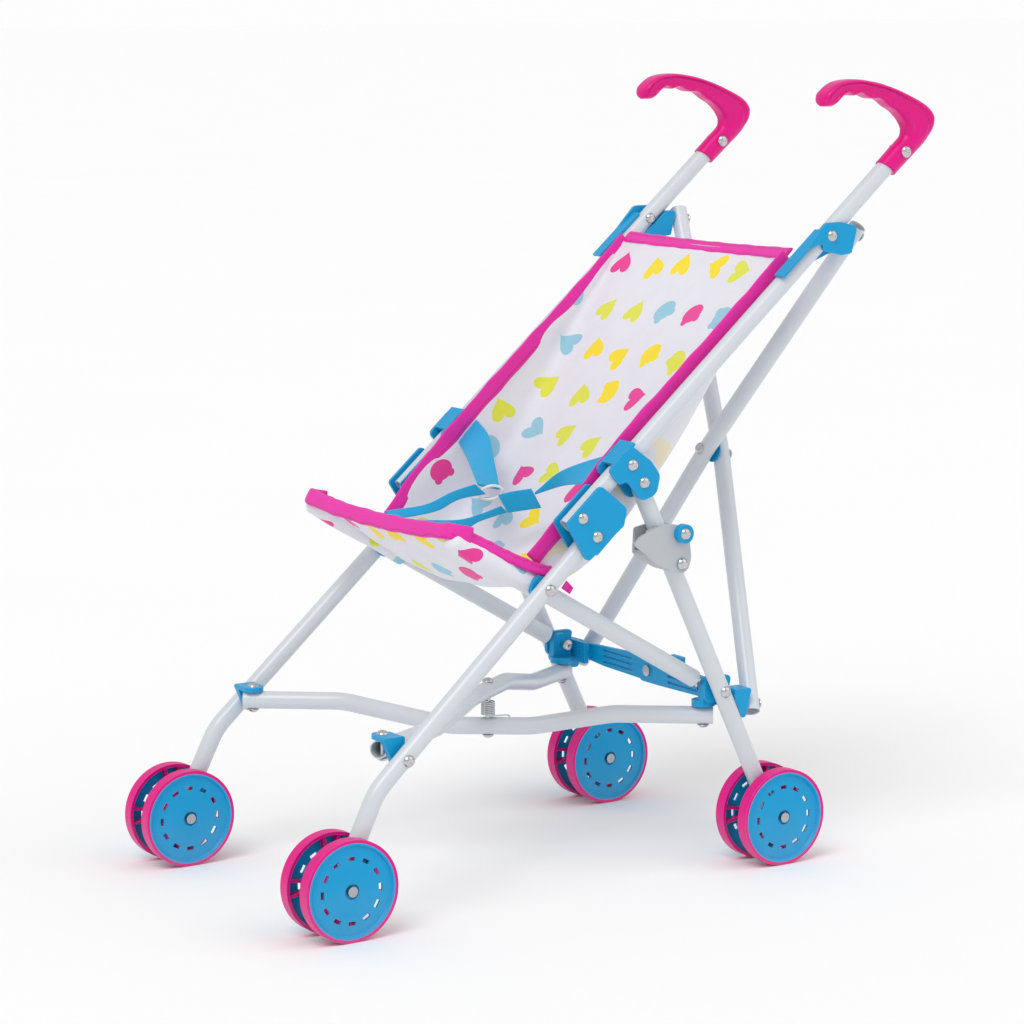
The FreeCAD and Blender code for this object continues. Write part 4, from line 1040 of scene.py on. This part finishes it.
class STROLLER_OT_spring(bpy.types.Operator):
    """Wind the coil spring on the pin between the crossing floor tubes"""
    bl_idname = "stroller.spring"
    bl_label = "Spring"

    def execute(self, context):
        low, high = (np.array(corner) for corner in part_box("scissor_spring"))
        middle = (low + high) / 2
        wire = SPRING_WIRE
        radius = (high[0] - low[0]) / 2 - wire / 2
        share = np.linspace(0, 1, 420)
        angle = share * SPRING_TURNS * 2 * math.pi
        rise = low[2] + wire + share * (high[2] - low[2] - 2 * wire)
        coil = np.stack([middle[0] + radius * np.cos(angle), middle[1] + radius * np.sin(angle),
                         rise], -1)
        foot = coil[0] + np.array([[0.0015, 0.0155, -0.0035], [0.001, 0.0135, -0.0006],
                                   [0.0004, 0.006, -0.0001]])
        head = coil[-1] + np.array([[0.0003, -0.0035, 0.0002], [0.0008, -0.0065, 0.0008]])
        line = smooth_line(np.vstack([foot, coil[::6], head]), 520)
        way = tangents(line)
        first = unit(np.cross(way, (0.13, 0.21, 0.97)))
        second = np.cross(way, first)
        turn = np.linspace(0, 2 * math.pi, 8, endpoint=False)
        grid = line[:, None] + wire / 2 * (first[:, None] * np.cos(turn)[None, :, None]
                                           + second[:, None] * np.sin(turn)[None, :, None])
        spring = surface("spring_coil", grid, wrap=(False, True), caps=True)
        finish_piece(spring, "scissor_upper", "spring", FINISHES["spring"])
        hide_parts("scissor_spring")
        return {"FINISHED"}


# ---------------------------------------------------------------- stage

CAMERA_SPOT = (1.99442, -1.27977, 0.62009)
CAMERA_AZIMUTH, CAMERA_ELEVATION, CAMERA_ROLL = 57.736, 8.843, -0.202
CAMERA_LENS = 116.93
SENSOR_WIDTH = 36.0
FLOOR_REACH = 60.0
FLOOR_COLOUR = (0.98, 0.98, 0.98, 1.0)
# Strength of the white surroundings: as light on the stroller, and as seen behind it
WORLD_LIGHT = 0.70
BACKDROP = 0.985


def camera_matrix():
    """Camera turned about its own axis after looking back along azimuth and elevation."""
    a, e, r = (math.radians(v) for v in (CAMERA_AZIMUTH, CAMERA_ELEVATION, CAMERA_ROLL))
    back = np.array([math.sin(a) * math.cos(e), -math.cos(a) * math.cos(e), math.sin(e)])
    right = unit(np.cross(-back, [0.0, 0.0, 1.0]))
    up = np.cross(right, -back)
    level, tilt = math.cos(r), math.sin(r)
    matrix = np.eye(4)
    matrix[:3, 0] = level * right + tilt * up
    matrix[:3, 1] = level * up - tilt * right
    matrix[:3, 2] = back
    matrix[:3, 3] = CAMERA_SPOT
    return Matrix(matrix.tolist())


# Name, direction that the light comes from, strength and spread in degrees
LIGHTS = (
    ("key", (0.9, -1.5, 2.4), 1.0, 32.0),
    ("fill", (1.6, 1.6, 1.8), 0.35, 50.0),
)


class STROLLER_OT_stage(bpy.types.Operator):
    """Lay the floor and set the lights and the camera"""
    bl_idname = "stroller.stage"
    bl_label = "Stage"

    def execute(self, context):
        scene = context.scene
        camera = bpy.data.objects.new("camera", bpy.data.cameras.new("camera"))
        camera.data.lens = CAMERA_LENS
        camera.data.sensor_width = SENSOR_WIDTH
        camera.matrix_world = camera_matrix()
        scene.collection.objects.link(camera)
        scene.camera = camera
        steps = np.linspace(-FLOOR_REACH, FLOOR_REACH, 3)
        x, y = np.meshgrid(steps, steps, indexing="ij")
        floor = surface("floor", np.stack([x, y, np.zeros_like(x)], -1), outward=False)
        floor.data.flip_normals()
        floor.data.materials.append(floor_paint("floor_paint", FLOOR_COLOUR))
        for name, spot, strength, spread in LIGHTS:
            light = bpy.data.objects.new(name, bpy.data.lights.new(name, "SUN"))
            light.data.energy = strength
            light.data.angle = math.radians(spread)
            back = unit(np.array(spot))
            right = unit(np.cross([0.0, 0.0, 1.0], back))
            matrix = np.eye(4)
            matrix[:3, 0], matrix[:3, 1], matrix[:3, 2] = right, np.cross(back, right), back
            matrix[:3, 3] = spot
            light.matrix_world = Matrix(matrix.tolist())
            scene.collection.objects.link(light)
        world = bpy.data.worlds.new("studio")
        scene.world = world
        world.use_nodes = True
        tree = world.node_tree
        backdrop = add(tree, "LightPath").outputs["Is Camera Ray"]
        glow = calc(tree, "MULTIPLY_ADD", backdrop, BACKDROP - WORLD_LIGHT, WORLD_LIGHT)
        tree.nodes["Background"].inputs["Color"].default_value = (1.0, 1.0, 1.0, 1.0)
        tree.links.new(glow, tree.nodes["Background"].inputs["Strength"])
        scene.view_settings.view_transform = "Standard"
        return {"FINISHED"}


STEPS = (STROLLER_OT_stage, STROLLER_OT_finishes, STROLLER_OT_sling, STROLLER_OT_binding,
         STROLLER_OT_harness, STROLLER_OT_grips, STROLLER_OT_rivets, STROLLER_OT_spring)


class STROLLER_PT_panel(bpy.types.Panel):
    """Buttons and settings of the stroller"""
    bl_idname = "STROLLER_PT_panel"
    bl_label = "Doll stroller"
    bl_space_type = "VIEW_3D"
    bl_region_type = "UI"
    bl_category = "Stroller"

    def draw(self, context):
        layout = self.layout
        for settings in (context.scene.stroller_colours, context.scene.stroller_sizes):
            for name in settings.__annotations__:
                layout.prop(settings, name)
        for step in STEPS:
            layout.operator(step.bl_idname)


CLASSES = (StrollerColours, StrollerSizes, *STEPS, STROLLER_PT_panel)


def register():
    """Add the settings, operators and panel."""
    for item in CLASSES:
        bpy.utils.register_class(item)
    bpy.types.Scene.stroller_colours = PointerProperty(type=StrollerColours)
    bpy.types.Scene.stroller_sizes = PointerProperty(type=StrollerSizes)


def unregister():
    """Take the settings, operators and panel away again."""
    del bpy.types.Scene.stroller_sizes
    del bpy.types.Scene.stroller_colours
    for item in reversed(CLASSES):
        bpy.utils.unregister_class(item)


def main():
    """Run every step in order."""
    register()
    for step in STEPS:
        area, name = step.bl_idname.split(".")
        getattr(getattr(bpy.ops, area), name)()
    bpy.context.view_layer.update()


if __name__ == "__main__":
    main()
